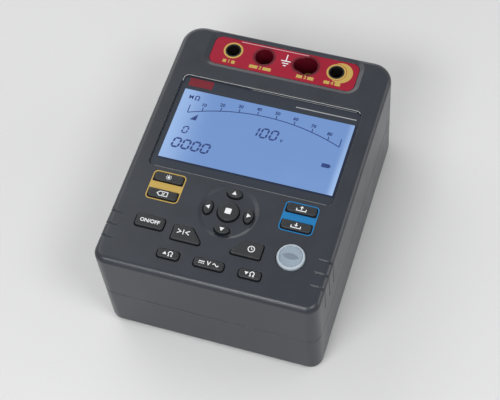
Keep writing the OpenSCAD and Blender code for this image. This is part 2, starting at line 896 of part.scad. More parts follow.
module display_lens() {
    color([0.55, 0.72, 0.92, 0.6])
        translate([0, display_y + lens_rise, 0])
            plate(lens_w, lens_l, lens_r, lens_z, lens_t);
}

module lcd_panel() {
    color([0.45, 0.60, 0.85]) translate([0, display_y, 0]) block(lcd_w, lcd_l, under_z - lcd_t, lcd_t);
}

module backlight() {
    color("white")
        translate([0, display_y, 0])
            block(lcd_w - 2 * lamp_inset, lcd_l - 2 * lamp_inset, board_top, stack - lcd_t);
}

module keypad_mat() {
    color([0.30, 0.30, 0.32])
        difference() {
            translate([0, display_y - mat_drop, 0]) plate(mat_w, mat_l, lens_r, board_top, mat_t);
            for (k = keys)
                translate(key_place(k))
                    key_prism(k, gap - stem_inset, board_top - cut, board_top + mat_t + cut);
            at_each(bosses) rod(boss_r + gap, board_top - cut, board_top + mat_t + cut);
        }
}

module main_board() {
    color(board_green)
        difference() {
            translate([0, board_y, 0]) plate(board_w, board_l, board_r, board_z, board_t);
            at_each(bosses) rod(board_screw_d / 2 + gap, board_z - cut, board_top + cut);
        }
}

module board_screws() {
    color(steel) at_each(bosses) screw(board_screw_d, board_t + stack - cut, board_z);
}

module transformer_core() {
    window_h = core_h - 2 * core_yoke;
    color([0.16, 0.16, 0.17])
        translate(core_place)
            difference() {
                block(core_w, core_l, board_z - core_h, core_h);
                for (s = [-1, 1])
                    translate([s * (core_leg + core_window) / 2, 0, 0])
                        block(core_window, core_l + 2 * cut, board_z - core_h + core_yoke, window_h);
            }
}

module transformer_winding() {
    window_h = core_h - 2 * core_yoke;
    turns_w = core_leg + 2 * core_window - 2 * gap;
    turns_l = core_l + 2 * core_window - 2 * gap;
    turns_z = board_z - core_h + core_yoke + gap;
    color([0.62, 0.34, 0.14])
        translate(core_place)
            difference() {
                plate(turns_w, turns_l, turns_r, turns_z, window_h - 2 * gap);
                block(core_leg + 2 * gap, core_l + 2 * gap, turns_z - cut, window_h + 2 * cut);
            }
}

module capacitors() {
    color([0.10, 0.16, 0.36])
        at_each(can_places)
            rotate_extrude()
                polygon([
                    [0, board_z - can_h],
                    [can_r - can_groove, board_z - can_h],
                    [can_r, board_z - can_h + can_groove],
                    [can_r, board_z - 4 * can_groove],
                    [can_r - can_groove, board_z - 3 * can_groove],
                    [can_r, board_z - 2 * can_groove],
                    [can_r, board_z],
                    [0, board_z]
                ]);
}

module relays() {
    color([0.85, 0.85, 0.82])
        at_each(relay_places)
            plate(relay_size.x, relay_size.y, relay_r, board_z - relay_size.z, relay_size.z);
}

module buzzer() {
    color(key_black)
        translate(buzzer_place)
            difference() {
                rod(buzzer_r, board_z - buzzer_h, board_z);
                rod(buzzer_hole_r, board_z - buzzer_h - cut, board_z - buzzer_h + buzzer_hole_depth);
            }
}

module controller_chip() {
    color([0.10, 0.10, 0.11]) translate(chip_place) plate(chip_w, chip_w, chip_r, board_z - chip_t, chip_t);
}

// A cell along Y, its button towards +Y in even columns and -Y in odd ones
module cell(i) {
    column = floor(i / cells_deep);
    row = i % cells_deep;
    r = cell_d / 2;
    body = cell_l - button_h;
    color([0.16, 0.30, 0.52])
        translate([column_x(column), bay_y + (row - (cells_deep - 1) / 2) * cell_l, cell_z])
            rotate([column % 2 == 0 ? -90 : 90, 0, 0])
                translate([0, 0, -cell_l / 2])
                    rotate_extrude()
                        polygon([
                            [0, 0],
                            [r - shoulder, 0],
                            [r, shoulder],
                            [r, body - shoulder],
                            [r - shoulder, body],
                            [button_r, body],
                            [button_r, cell_l],
                            [0, cell_l]
                        ]);
}

// A leaf contact that stands on the bay's end wall and bows towards the cell
module leaf(side) {
    reach = contact_room - gap;
    bow = strip_h / 3;
    rotate([90, 0, 90])
        translate([0, 0, -strip_w / 2])
            linear_extrude(strip_w)
                polygon([
                    [0, -strip_h / 2],
                    [0, strip_h / 2],
                    [-side * strip_t, strip_h / 2],
                    [-side * strip_t, bow],
                    [-side * reach, strip_t],
                    [-side * reach, -strip_t],
                    [-side * (reach - strip_t), -strip_t],
                    [-side * (reach - strip_t), strip_t / 2],
                    [-side * strip_t, bow - 2 * strip_t],
                    [-side * strip_t, -strip_h / 2]
                ]);
}

module contact_row(side) {
    color(steel)
        for (i = [0:cell_columns - 1])
            translate([column_x(i), bay_y + side * bay_l / 2, cell_z]) leaf(side);
}

module battery_cover() {
    color(case_grey)
        difference() {
            union() {
                cover_zone(0, floor_z, cover_t);
                for (s = [-1, 1])
                    translate([s * tab_x, cover_high, 0])
                        block(tab_w, 2 * tab_l, floor_z + cover_t - tab_t, tab_t);
                cradles(floor_z + cover_t / 2, cover_t / 2 + cradle_h);
            }
            for (s = [-1, 1])
                translate([s * cover_screw_x, cover_screw_y, 0]) {
                    rod(screw_d / 2 + gap, floor_z - cut, floor_z + cover_t + cut);
                    rod(head_r(screw_d) + head_gap, floor_z - cut, floor_z + cover_t / 2);
                }
            for (i = [0:cover_grips - 1])
                translate([0, cover_screw_y + (i - (cover_grips - 1) / 2) * cover_grip_pitch, 0])
                    block(cover_grip_w, cover_grip_l, floor_z - cut, cut + cover_grip_depth);
            translate([0, bay_y, 0]) plate(field_w, field_l, field_r, floor_z - cut, cut + field_depth);
        }
}

module cover_screws() {
    color(steel)
        for (s = [-1, 1])
            translate([s * cover_screw_x, cover_screw_y, 0])
                screw(screw_d, cover_screw_l, floor_z + cover_t / 2);
}

// The stand: a plate on a hinge barrel, hollowed and ribbed on the side that folds in
module stand() {
    hollow_w = stand_w - 2 * stand_rim;
    hollow_l = stand_l - 2 * stand_rim;
    low = hinge_z - stand_t / 2;
    color(case_grey)
        difference() {
            union() {
                hinge_line(stand_t / 2, stand_w);
                translate([0, hinge_y + stand_l / 2, 0]) block(stand_w, stand_l, low, stand_t);
                hinge_line(pin_d / 2, stand_w + 2 * pin_l);
            }
            for (s = [-1, 1])
                translate([s * (hollow_w + stand_rib) / 4, hinge_y + stand_l / 2, 0])
                    plate((hollow_w - stand_rib) / 2, hollow_l, stand_rim / 2, low + stand_skin, stand_t);
        }
}

module foot(i) {
    top = floor_z + foot_recess;
    color(rubber)
        translate([feet[i].x, feet[i].y, 0])
            rotate_extrude()
                polygon(concat(
                    [[0, 0]],
                    [for (e = edge_arc(foot_h / 2, key_edge_steps)) [foot_r - e.x, e.y]],
                    [[foot_r, top], [0, top]]
                ));
}

front_case();
rear_case();
case_screws();
terminal_panel();
for (i = [0:3]) socket(i);
for (i = [0:3]) contact(i);
terminal_board();
display_lens();
lcd_panel();
backlight();
keypad_mat();
for (k = keys) key(k);
main_board();
board_screws();
transformer_core();
transformer_winding();
capacitors();
relays();
buzzer();
controller_chip();
for (i = [0:cell_total - 1]) cell(i);
contact_row(1);  // upper_contacts
contact_row(-1);  // lower_contacts
battery_cover();
cover_screws();
stand();
for (i = [0:3]) foot(i);
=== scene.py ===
import math

import bmesh
import bpy
from mathutils import Color, Matrix, Quaternion, Vector


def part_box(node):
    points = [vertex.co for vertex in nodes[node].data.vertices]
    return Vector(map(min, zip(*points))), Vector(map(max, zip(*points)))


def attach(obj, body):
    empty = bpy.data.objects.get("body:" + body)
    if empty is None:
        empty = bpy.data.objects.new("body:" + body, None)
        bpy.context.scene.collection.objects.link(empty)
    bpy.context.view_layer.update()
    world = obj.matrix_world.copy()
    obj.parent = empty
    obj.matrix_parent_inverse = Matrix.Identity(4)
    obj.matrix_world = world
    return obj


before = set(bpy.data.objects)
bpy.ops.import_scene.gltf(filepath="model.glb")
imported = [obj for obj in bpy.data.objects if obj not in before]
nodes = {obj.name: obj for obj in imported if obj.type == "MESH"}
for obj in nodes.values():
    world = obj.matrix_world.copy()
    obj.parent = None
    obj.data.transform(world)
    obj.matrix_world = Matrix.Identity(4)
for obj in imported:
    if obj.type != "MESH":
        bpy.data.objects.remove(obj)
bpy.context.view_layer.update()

caseBody = "case"
mm = 0.001


def ink(red, green, blue):  # a screen colour from 0 to 255, as the linear one that nodes take
    return (*Color((red / 255, green / 255, blue / 255)).from_srgb_to_scene_linear(), 1)


def middle(name):  # of a CAD piece's box, in millimetres on the face
    low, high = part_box(name)
    return ((low.x + high.x) / 2 / mm, (low.y + high.y) / 2 / mm)


def topOf(name):
    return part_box(name)[1].z / mm


def addObject(name, data):
    made = bpy.data.objects.new(name, data)
    bpy.context.scene.collection.objects.link(made)
    return made


class Value:  # a node's output: arithmetic on it adds Math nodes
    def __init__(self, finish, socket):
        self.finish = finish
        self.socket = socket

    def math(self, operation, *terms):
        return self.finish.add("Math", {"operation": operation}, dict(enumerate(terms)))

    def __add__(self, other):
        return self.math("ADD", self, other)

    def __radd__(self, other):
        return self.math("ADD", other, self)

    def __sub__(self, other):
        return self.math("SUBTRACT", self, other)

    def __rsub__(self, other):
        return self.math("SUBTRACT", other, self)

    def __mul__(self, other):
        return self.math("MULTIPLY", self, other)

    def __rmul__(self, other):
        return self.math("MULTIPLY", other, self)

    def __truediv__(self, other):
        return self.math("DIVIDE", self, other)

    def __rtruediv__(self, other):
        return self.math("DIVIDE", other, self)

    def __pow__(self, other):
        return self.math("POWER", self, other)

    def __rpow__(self, other):
        return self.math("POWER", other, self)

    def swing(self, amount):  # how far a noise is from its middle, 0.5, times amount
        return (self - 0.5) * amount

    def step(self, low, high):  # 0 below low, 1 above high, smooth between
        return self.finish.add(
            "MapRange", {"interpolation_type": "SMOOTHSTEP"}, {0: self, 1: low, 2: high}
        )


class Nodes:  # a node tree, emptied and filled again
    def __init__(self, tree, family="ShaderNode"):
        self.tree = tree
        self.family = family  # how the types of its nodes begin
        self.tree.nodes.clear()

    def add(self, kind, settings=None, sockets=None, out=0):
        node = self.tree.nodes.new(self.family + kind)
        for key, value in (settings or {}).items():
            setattr(node, key, value)
        for key, value in (sockets or {}).items():
            if isinstance(value, Value):
                self.tree.links.new(value.socket, node.inputs[key])
            else:
                node.inputs[key].default_value = value
        return Value(self, node.outputs[out]) if node.outputs else None


class Finish(Nodes):  # one material
    def __init__(self, name):
        self.material = bpy.data.materials.new(name)
        self.material.use_nodes = True
        super().__init__(self.material.node_tree)
        self.place = self.add("TexCoord", out="Object")

    def noise(self, size, detail=2.0, place=None):
        return self.add(
            "TexNoise", {}, {"Vector": place or self.place, "Scale": 1 / size, "Detail": detail}
        )

    def wave(self, direction, scale):
        return self.add(
            "TexWave", {"bands_direction": direction}, {"Vector": self.place, "Scale": scale}
        )

    def vectors(self, operation, first, *second, out=0):
        sockets = dict(enumerate((first, *second)))
        return self.add("VectorMath", {"operation": operation}, sockets, out)

    def stretched(self, x, y, z):
        return self.vectors("MULTIPLY", self.place, (x, y, z))

    def axis(self, name):
        return self.add("SeparateXYZ", {}, {0: self.place}, out=name)

    def mix(self, factor, first, second):
        return self.add("Mix", {"data_type": "RGBA"}, {0: factor, 6: first, 7: second}, out=2)

    def softEdge(self, radius, samples=6):  # the normal of a small round on every sharp edge
        return self.add("Bevel", {"samples": samples}, {"Radius": radius})

    def edges(self, rounded, low, high):  # 1 where an edge turns, 0 on open faces
        normal = self.add("NewGeometry", out="Normal")
        along = self.vectors("DOT_PRODUCT", rounded, normal, out="Value")
        return (1 - along).step(low, high)

    def bump(self, height, strength, distance, normal=None):
        sockets = {"Height": height, "Strength": strength, "Distance": distance}
        if normal:
            sockets["Normal"] = normal
        return self.add("Bump", {}, sockets)

    def close(self, shader):
        self.add("OutputMaterial", {}, {"Surface": shader})
        return self.material

    def principled(self, sockets):
        return self.close(self.add("BsdfPrincipled", {}, sockets))


dressed = set()


def dress(material, *names):
    for name in names:
        slots = nodes[name].data.materials
        slots.clear()
        slots.append(material)
    dressed.update(names)


def startingWith(start):
    return [name for name in nodes if name.startswith(start)]


def moulded(name, look):  # moulded plastic: fine grain, faint clouding, polished edges
    f = Finish(name)
    rounded = f.softEdge(look["edge"])
    edge = f.edges(rounded, *look["edgeTurn"])
    grain = f.noise(look["grain"], detail=3)
    cloud = f.noise(look["cloud"], detail=4)
    speck = f.noise(look["grain"] * look["speckGrains"])
    base = f.mix(cloud.step(*look["cloudSpan"]), look["colour"], look["pale"])
    base = f.mix(speck.step(*look["speckSpan"]) * look["speckShare"], base, look["wornAndHighlight"])
    base = f.mix(edge * look["edgeWear"], base, look["wornAndHighlight"])
    if "rimHighlightSpan" in look:  # painted highlight: paler towards its rim, in the worn colour
        away = f.vectors("DISTANCE", f.stretched(1, 1, 0), look["rimCentre"], out="Value")
        base = f.mix(away.step(*look["rimHighlightSpan"]) * look["rimHighlightShare"], base, look["wornAndHighlight"])
    return f.principled({
        "Base Color": base,
        "Roughness": look["rough"] + cloud.swing(look["roughSpread"]) - edge * look["edgePolish"],
        "IOR": look["ior"],
        "Specular IOR Level": look["shine"],
        "Normal": f.bump(grain, look["grainStrength"], look["grainDepth"], rounded),
    })


plastic = {  # what all the moulded plastics share
    "edgeTurn": (0.03, 0.25),
    "edgePolish": 0.08,
    "cloudSpan": (0.3, 0.7),
    "speckGrains": 3,
    "speckSpan": (0.6, 0.78),
    "roughSpread": 0.1,
    "ior": 1.48,
}
housing = {
    **plastic,
    "colour": ink(31, 36, 45),
    "pale": ink(36, 41, 50),
    "wornAndHighlight": ink(88, 93, 102),
    "grain": 0.0005,
    "grainDepth": 0.00004,
    "grainStrength": 0.7,
    "speckShare": 0.06,
    "cloud": 0.018,
    "edge": 0.0006,
    "edgeWear": 0.35,
    "rough": 0.31,
    "shine": 0.5,
}
housingFinish = moulded("housingPlastic", housing)
dress(housingFinish, "front_case", "rear_case", "battery_cover", "stand")

panelPlastic = {
    **plastic,
    "colour": ink(145, 10, 39),
    "pale": ink(154, 15, 45),
    "wornAndHighlight": ink(196, 60, 80),
    "grain": 0.0003,
    "grainDepth": 0.00001,
    "grainStrength": 0.3,
    "speckShare": 0.1,
    "cloud": 0.02,
    "edge": 0.0004,
    "edgeWear": 0.3,
    "rough": 0.38,
    "shine": 0.3,
}
dress(moulded("panelPlastic", panelPlastic), "terminal_panel")

wellPlastic = {
    **panelPlastic,
    "colour": ink(92, 12, 28),
    "pale": ink(102, 16, 34),
    "rough": 0.34,
}
dress(moulded("wellPlastic", wellPlastic), "socket_2", "socket_3")

socketPlastic = {
    **panelPlastic,
    "colour": ink(22, 22, 23),
    "pale": ink(27, 27, 28),
    "wornAndHighlight": ink(66, 66, 68),
    "rough": 0.3,
}
dress(moulded("socketPlastic", socketPlastic), "socket_1", "socket_4")

buttonX, buttonY = middle("test_button")
testPlastic = {
    **panelPlastic,
    "colour": ink(138, 152, 165),
    "pale": ink(146, 160, 173),
    "wornAndHighlight": ink(190, 201, 210),
    "edge": 0.0007,
    "edgeWear": 0.6,
    "rough": 0.36,
    # the outer ring is painted paler: a painted highlight where the rim catches the light
    "rimCentre": (buttonX * mm, buttonY * mm, 0),
    "rimHighlightSpan": (0.0078, 0.0082),
    "rimHighlightShare": 0.7,
}
dress(moulded("testPlastic", testPlastic), "test_button")

relayPlastic = {
    **panelPlastic,
    "colour": ink(214, 213, 206),
    "pale": ink(222, 221, 214),
    "wornAndHighlight": ink(238, 237, 232),
}
dress(moulded("relayPlastic", relayPlastic), "relays")

chipPlastic = {
    **socketPlastic,
    "colour": ink(34, 34, 35),
    "pale": ink(40, 40, 41),
    "rough": 0.5,
}
dress(moulded("chipPlastic", chipPlastic), "buzzer", "controller_chip")

diffuser = {
    **panelPlastic,
    "colour": ink(232, 235, 240),
    "pale": ink(238, 241, 245),
    "wornAndHighlight": ink(246, 248, 250),
}
dress(moulded("diffuserPlastic", diffuser), "backlight")


def rubbery(name, look):  # silicone or rubber: soft sheen, dust in the grain
    f = Finish(name)
    rounded = f.softEdge(look["edge"])
    edge = f.edges(rounded, *look["edgeTurn"])
    grain = f.noise(look["grain"], detail=3)
    cloud = f.noise(look["cloud"], detail=3)
    base = f.mix(cloud.step(*look["cloudSpan"]) * look["dust"], look["colour"], look["pale"])
    base = f.mix(edge * look["edgeWear"], base, look["wornAndHighlight"])
    return f.principled({
        "Base Color": base,
        "Roughness": look["rough"] + grain.swing(look["roughSpread"]) - edge * look["edgePolish"],
        "IOR": look["ior"],
        "Normal": f.bump(grain, look["grainStrength"], look["grainDepth"], rounded),
    })


keyRubber = {
    "colour": ink(25, 27, 31),
    "pale": ink(33, 35, 39),
    "wornAndHighlight": ink(96, 97, 102),
    "grain": 0.00028,
    "grainDepth": 0.00001,
    "grainStrength": 0.3,
    "cloud": 0.006,
    "cloudSpan": (0.35, 0.7),
    "dust": 0.6,
    "edge": 0.0006,
    "edgeTurn": (0.03, 0.3),
    "edgeWear": 0.4,
    "edgePolish": 0.1,
    "rough": 0.5,
    "roughSpread": 0.15,
    "ior": 1.45,
}
dress(rubbery("keyRubber", keyRubber), *[name for name in nodes if name.endswith("_key")])

matRubber = {**keyRubber, "colour": ink(72, 72, 75), "pale": ink(80, 80, 83), "rough": 0.62}
dress(rubbery("matRubber", matRubber), "keypad_mat")

footRubber = {**keyRubber, "colour": ink(26, 26, 26), "pale": ink(34, 34, 34), "rough": 0.72}
dress(rubbery("footRubber", footRubber), *startingWith("foot_"))


def plated(name, look):  # turned or pressed metal: drawn lines and a little tarnish
    f = Finish(name)
    rounded = f.softEdge(look["edge"])
    lines = f.noise(look["lines"], place=f.stretched(*look["along"]))
    tarnish = f.noise(look["cloud"], detail=4)
    share = tarnish.step(*look["tarnishSpan"]) * look["tarnishShare"]
    rough = look["rough"] + lines.swing(look["lineRough"]) + tarnish * look["tarnishRough"]
    return f.principled({
        "Base Color": f.mix(share, look["colour"], look["tarnish"]),
        "Metallic": 1.0,
        "Roughness": rough,
        "Normal": f.bump(lines, look["lineStrength"], look["lineDepth"], rounded),
    })


zincSteel = {
    "colour": ink(196, 198, 202),
    "tarnish": ink(150, 148, 142),
    "tarnishShare": 0.5,
    "tarnishSpan": (0.45, 0.75),
    "tarnishRough": 0.1,
    "lines": 0.0004,
    "along": (1, 1, 0.2),
    "lineRough": 0.2,
    "lineStrength": 0.12,
    "lineDepth": 0.00002,
    "cloud": 0.004,
    "edge": 0.0002,
    "rough": 0.3,
}
dress(plated("zincSteel", zincSteel), "case_screws", "board_screws", "cover_screws")

brassContact = {
    **zincSteel,
    "colour": ink(168, 134, 70),
    "tarnish": ink(104, 78, 38),
    "along": (0.3, 0.3, 3),
}
dress(plated("brassContact", brassContact), *startingWith("contact_"))

nickelSpring = {**zincSteel, "colour": ink(206, 206, 204), "along": (0.2, 1, 1)}
dress(plated("nickelSpring", nickelSpring), "upper_contacts", "lower_contacts")
print("finishes: plastics, rubbers and metals on", len(dressed), "pieces")


def laminate(name, look):  # glass-fibre board: weave under solder mask, with copper tracks
    f = Finish(name)
    weave = f.wave("X", 1 / look["weave"])
    across = f.wave("Y", 1 / look["weave"])
    tracks = f.add(
        "TexBrick",
        {"offset": look["stagger"]},
        {
            "Vector": f.place,
            "Color1": (0, 0, 0, 1),
            "Color2": (0, 0, 0, 1),
            "Mortar": (1, 1, 1, 1),
            "Scale": 1,
            "Mortar Size": look["track"],
            "Brick Width": look["spread"],
            "Row Height": look["pitch"],
        },
    )
    base = f.mix(weave.step(*look["weaveSpan"]) * look["weaveShare"], look["mask"], look["deep"])
    base = f.mix(tracks * look["trackShare"], base, look["trackColour"])
    return f.principled({
        "Base Color": base,
        "Roughness": look["rough"] + across * look["weaveRough"],
        "Normal": f.bump(tracks, look["trackStrength"], look["trackDepth"]),
    })


boardLook = {
    "mask": ink(16, 92, 52),
    "deep": ink(10, 66, 38),
    "trackColour": ink(44, 138, 78),
    "weave": 0.004,
    "weaveSpan": (0.2, 0.8),
    "weaveShare": 0.25,
    "weaveRough": 0.08,
    "track": 0.0004,
    "trackShare": 0.55,
    "trackStrength": 0.3,
    "trackDepth": 0.00003,
    "pitch": 0.0024,
    "spread": 0.019,
    "stagger": 0.37,
    "rough": 0.34,
}
dress(laminate("boardLaminate", boardLook), "main_board", "terminal_board")


def wound(name, look):  # turns of enamelled wire laid side by side
    f = Finish(name)
    turns = f.wave("Z", look["turns"])
    cloud = f.noise(look["cloud"])
    base = f.mix(turns.step(*look["gapSpan"]), look["gap"], look["wire"])
    base = f.mix(cloud * look["varnishShare"], base, look["varnish"])
    return f.principled({
        "Base Color": base,
        "Roughness": look["rough"] - turns * look["wireGloss"],
        "Metallic": turns.step(*look["metalSpan"]) * look["metalShare"],
        "Normal": f.bump(turns, look["turnStrength"], look["turnDepth"]),
    })


windingLook = {
    "wire": ink(196, 112, 58),
    "gap": ink(74, 36, 18),
    "gapSpan": (0.1, 0.6),
    "varnish": ink(150, 82, 40),
    "varnishShare": 0.3,
    "turns": 320,
    "turnStrength": 0.6,
    "turnDepth": 0.0002,
    "cloud": 0.004,
    "rough": 0.42,
    "wireGloss": 0.12,
    "metalSpan": (0.2, 0.6),
    "metalShare": 0.6,
}
dress(wound("copperWinding", windingLook), "transformer_winding")


def sintered(name, look):  # pressed ferrite: grey, with coarse grains
    f = Finish(name)
    grains = f.add(
        "TexVoronoi", {"feature": "F1"}, {"Vector": f.place, "Scale": 1 / look["grains"]}
    )
    cloud = f.noise(look["cloud"], detail=3)
    rounded = f.softEdge(look["edge"])
    return f.principled({
        "Base Color": f.mix(cloud, look["colour"], look["pale"]),
        "Roughness": look["rough"] + grains * look["grainRough"],
        "Normal": f.bump(grains, look["grainStrength"], look["grainDepth"], rounded),
    })


ferriteLook = {
    "colour": ink(44, 44, 46),
    "pale": ink(60, 60, 62),
    "grains": 0.0008,
    "grainRough": 0.2,
    "grainStrength": 0.35,
    "grainDepth": 0.00005,
    "cloud": 0.005,
    "edge": 0.0004,
    "rough": 0.55,
}
dress(sintered("ferriteCore", ferriteLook), "transformer_core")


def sleeved(name, look):  # a can in shrink sleeve, with a paler stripe along it
    f = Finish(name)
    cloud = f.noise(look["cloud"], detail=3)
    stripe = f.wave(look["across"], look["stripe"])
    base = f.mix(stripe.step(*look["stripeSpan"]), look["sleeve"], look["pale"])
    base = f.mix(cloud.step(*look["shadeSpan"]) * look["shadeShare"], base, look["shade"])
    return f.principled({
        "Base Color": base,
        "Roughness": look["rough"] + cloud * look["roughSpread"],
        "Coat Weight": look["coat"],
        "Normal": f.bump(cloud, look["cloudStrength"], look["cloudDepth"]),
    })


capacitorLook = {
    "sleeve": ink(30, 46, 96),
    "pale": ink(168, 178, 198),
    "shade": ink(20, 30, 66),
    "shadeSpan": (0.5, 0.8),
    "shadeShare": 0.3,
    "across": "X",
    "stripe": 21,
    "stripeSpan": (0.86, 0.9),
    "cloud": 0.003,
    "cloudStrength": 0.1,
    "cloudDepth": 0.00004,
    "rough": 0.28,
    "roughSpread": 0.12,
    "coat": 0.25,
}
dress(sleeved("capacitorSleeve", capacitorLook), "capacitors")

cellLook = {
    **capacitorLook,
    "sleeve": ink(52, 78, 118),
    "pale": ink(178, 186, 196),
    "shade": ink(34, 54, 88),
    "across": "Y",
    "stripe": 6.3,
}
dress(sleeved("cellSleeve", cellLook), *startingWith("cell_"))


def clearLens(name, look):  # acrylic: what is under it shows, and it mirrors more at a slant
    f = Finish(name)
    wipe = f.noise(look["wipe"], detail=3, place=f.stretched(*look["wipeAlong"]))
    slant = f.add("LayerWeight", {}, {"Blend": look["slantBlend"]}, out="Facing")
    mirror = slant ** look["slantPower"] * look["slantMirror"]
    gloss = f.add("BsdfGlossy", {}, {"Roughness": look["rough"] + wipe * look["smear"]})
    clear = f.add("BsdfTransparent", {}, {"Color": look["tint"]})
    return f.close(f.add("MixShader", {}, {0: mirror, 1: clear, 2: gloss}))


lensLook = {
    "tint": (0.96, 0.97, 0.98, 1),
    "wipe": 0.01,
    "wipeAlong": (0.3, 1, 1),
    "rough": 0.16,
    "smear": 0.12,
    "slantBlend": 0.5,
    "slantPower": 5,
    "slantMirror": 0.35,
}
dress(clearLens("lensAcrylic", lensLook), "display_lens")

# What the lens border leaves open, in millimetres on the face
window = {"left": -61.0, "right": 62.9, "foot": -13.3, "top": 45.3, "corner": 0.6}
windowWide = window["right"] - window["left"]
windowLong = window["top"] - window["foot"]
windowMid = (window["left"] + windowWide / 2, window["foot"] + windowLong / 2)


def lcdGlass(name, look):  # back-lit glass: brighter at its lamp edges, faint cell pattern
    f = Finish(name)
    across = (f.axis("X") / mm - window["left"]) / windowWide
    up = (f.axis("Y") / mm - window["foot"]) / windowLong
    cells = f.wave("DIAGONAL", 1 / look["cells"])
    cloud = f.noise(look["cloud"])
    lampEdge = (1 - across).step(*look["lampEdge"]) * look["lampShare"]
    farEdge = across.step(*look["farEdge"]) * look["farShare"]
    corner = (across - up).step(*look["cornerSpan"]) * look["cornerShare"]
    glow = lampEdge + farEdge + corner + cloud.swing(look["cloudShare"])
    lit = f.mix(glow.step(0, 1), look["middle"], look["bright"])
    lit = f.mix(cells * look["cellShare"], lit, look["shade"])
    return f.principled({
        "Base Color": f.mix(look["shadeShare"], lit, look["shade"]),
        "Roughness": look["rough"] + cells * look["cellRough"],
        "Specular IOR Level": look["shine"],
        "Emission Color": lit,
        "Emission Strength": look["glow"],
    })


lcdLook = {
    "middle": ink(103, 134, 181),
    "bright": ink(196, 222, 252),
    "shade": ink(46, 66, 104),
    "shadeShare": 0.7,
    "glow": 0.8,
    "cells": 0.0012,
    "cellShare": 0.04,
    "cellRough": 0.05,
    "cloud": 0.05,
    "cloudShare": 0.25,
    "lampEdge": (0.74, 1.02),
    "lampShare": 0.42,
    "farEdge": (0.95, 0.995),
    "farShare": 0.35,
    "cornerSpan": (0.1, 1.0),
    "cornerShare": 0.12,
    "rough": 0.22,
    "shine": 0.35,
}
lcdFinish = lcdGlass("lcdGlass", lcdLook)
dress(lcdFinish, "lcd_panel")
print("finishes:", len(dressed), "of", len(nodes), "pieces dressed")

# Moulded rounds are drawn smooth, and edges that turn more than so many degrees stay sharp
smoothing = {"sharpOver": 38, "faceSharpOver": 16, "weld": 2e-6}


def smoothRounds(name, sharpOver):
    tree = bpy.data.node_groups.new(name, "GeometryNodeTree")
    for way in ("INPUT", "OUTPUT"):
        tree.interface.new_socket("Geometry", in_out=way, socket_type="NodeSocketGeometry")
    g = Nodes(tree, family="")
    weldSockets = {"Geometry": g.add("NodeGroupInput"), "Distance": smoothing["weld"]}
    welded = g.add("GeometryNodeMergeByDistance", {}, weldSockets)
    angle = g.add("GeometryNodeInputMeshEdgeAngle", out="Unsigned Angle")
    sharp = g.add(
        "FunctionNodeCompare", {"operation": "GREATER_THAN"}, {0: angle, 1: math.radians(sharpOver)}
    )
    shaded = g.add(
        "GeometryNodeSetMeshNormal",
        {"mode": "SHARPNESS"},
        {"Mesh": welded, "Remove Custom": True, "Edge Sharpness": sharp},
    )
    g.add("NodeGroupOutput", {}, {0: shaded})
    return tree


commonRounds = smoothRounds("smoothRounds", smoothing["sharpOver"])
faceRounds = smoothRounds("faceRounds", smoothing["faceSharpOver"])  # it has gentle slopes
for name, piece in nodes.items():
    rounds = piece.modifiers.new("smoothRounds", "NODES")
    rounds.node_group = faceRounds if name == "front_case" else commonRounds
    even = piece.modifiers.new("evenNormals", "WEIGHTED_NORMAL")
    even.keep_sharp = True
print("smoothing: rounds shaded on", len(nodes), "pieces")

printing = {"weld": 1e-5, "letterSteps": 3, "mitreLimit": 0.35}


class Print:  # shapes in millimetres on the face, gathered into one thin closed mesh
    def __init__(self, bottom, thick):
        self.bottom = bottom
        self.thick = thick
        self.mesh = bmesh.new()

    def corners(self, loop):  # an outline's points, below and above
        heights = (self.bottom, self.bottom + self.thick)
        return [[self.mesh.verts.new((x, y, z)) for x, y in loop] for z in heights]

    def around(self, loop):
        return [(i, (i + 1) % len(loop)) for i in range(len(loop))]

    def patch(self, loop):  # a filled outline
        low, high = self.corners(loop)
        self.mesh.faces.new(low[::-1])
        self.mesh.faces.new(high)
        for i, j in self.around(loop):
            self.mesh.faces.new((low[i], low[j], high[j], high[i]))

    def band(self, outer, inner):  # the space between two outlines with as many points
        outLow, outHigh = self.corners(outer)
        inLow, inHigh = self.corners(inner)
        for i, j in self.around(outer):
            self.mesh.faces.new((outLow[i], outLow[j], outHigh[j], outHigh[i]))
            self.mesh.faces.new((inLow[j], inLow[i], inHigh[i], inHigh[j]))
            self.mesh.faces.new((outHigh[i], outHigh[j], inHigh[j], inHigh[i]))
            self.mesh.faces.new((outLow[j], outLow[i], inLow[i], inLow[j]))

    def line(self, points, width):  # an open stroke with square ends
        left, right = sides(points, width / 2)
        self.patch(right + left[::-1])

    def digits(self, text, size, centre, weight):
        curve = bpy.data.curves.new("digits", "FONT")
        curve.body = text
        curve.size = size
        curve.align_x = "CENTER"
        curve.align_y = "CENTER"
        curve.extrude = self.thick / 2
        curve.offset = weight
        curve.resolution_u = printing["letterSteps"]
        holder = addObject("digits", curve)
        drawn = holder.evaluated_get(bpy.context.evaluated_depsgraph_get())
        shape = bpy.data.meshes.new_from_object(drawn)
        shape.transform(Matrix.Translation((*centre, self.bottom + self.thick / 2)))
        self.mesh.from_mesh(shape)
        bpy.data.objects.remove(holder)
        bpy.data.meshes.remove(shape)
        bpy.data.curves.remove(curve)

    def piece(self, name, body, material, slot):
        bmesh.ops.remove_doubles(self.mesh, verts=self.mesh.verts, dist=printing["weld"])
        bmesh.ops.recalc_face_normals(self.mesh, faces=self.mesh.faces)
        bmesh.ops.scale(self.mesh, vec=(mm, mm, mm), verts=self.mesh.verts)
        mesh = bpy.data.meshes.new(name)
        self.mesh.to_mesh(mesh)
        self.mesh.free()
        mesh.materials.append(material)
        made = addObject(name, mesh)
        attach(made, body)


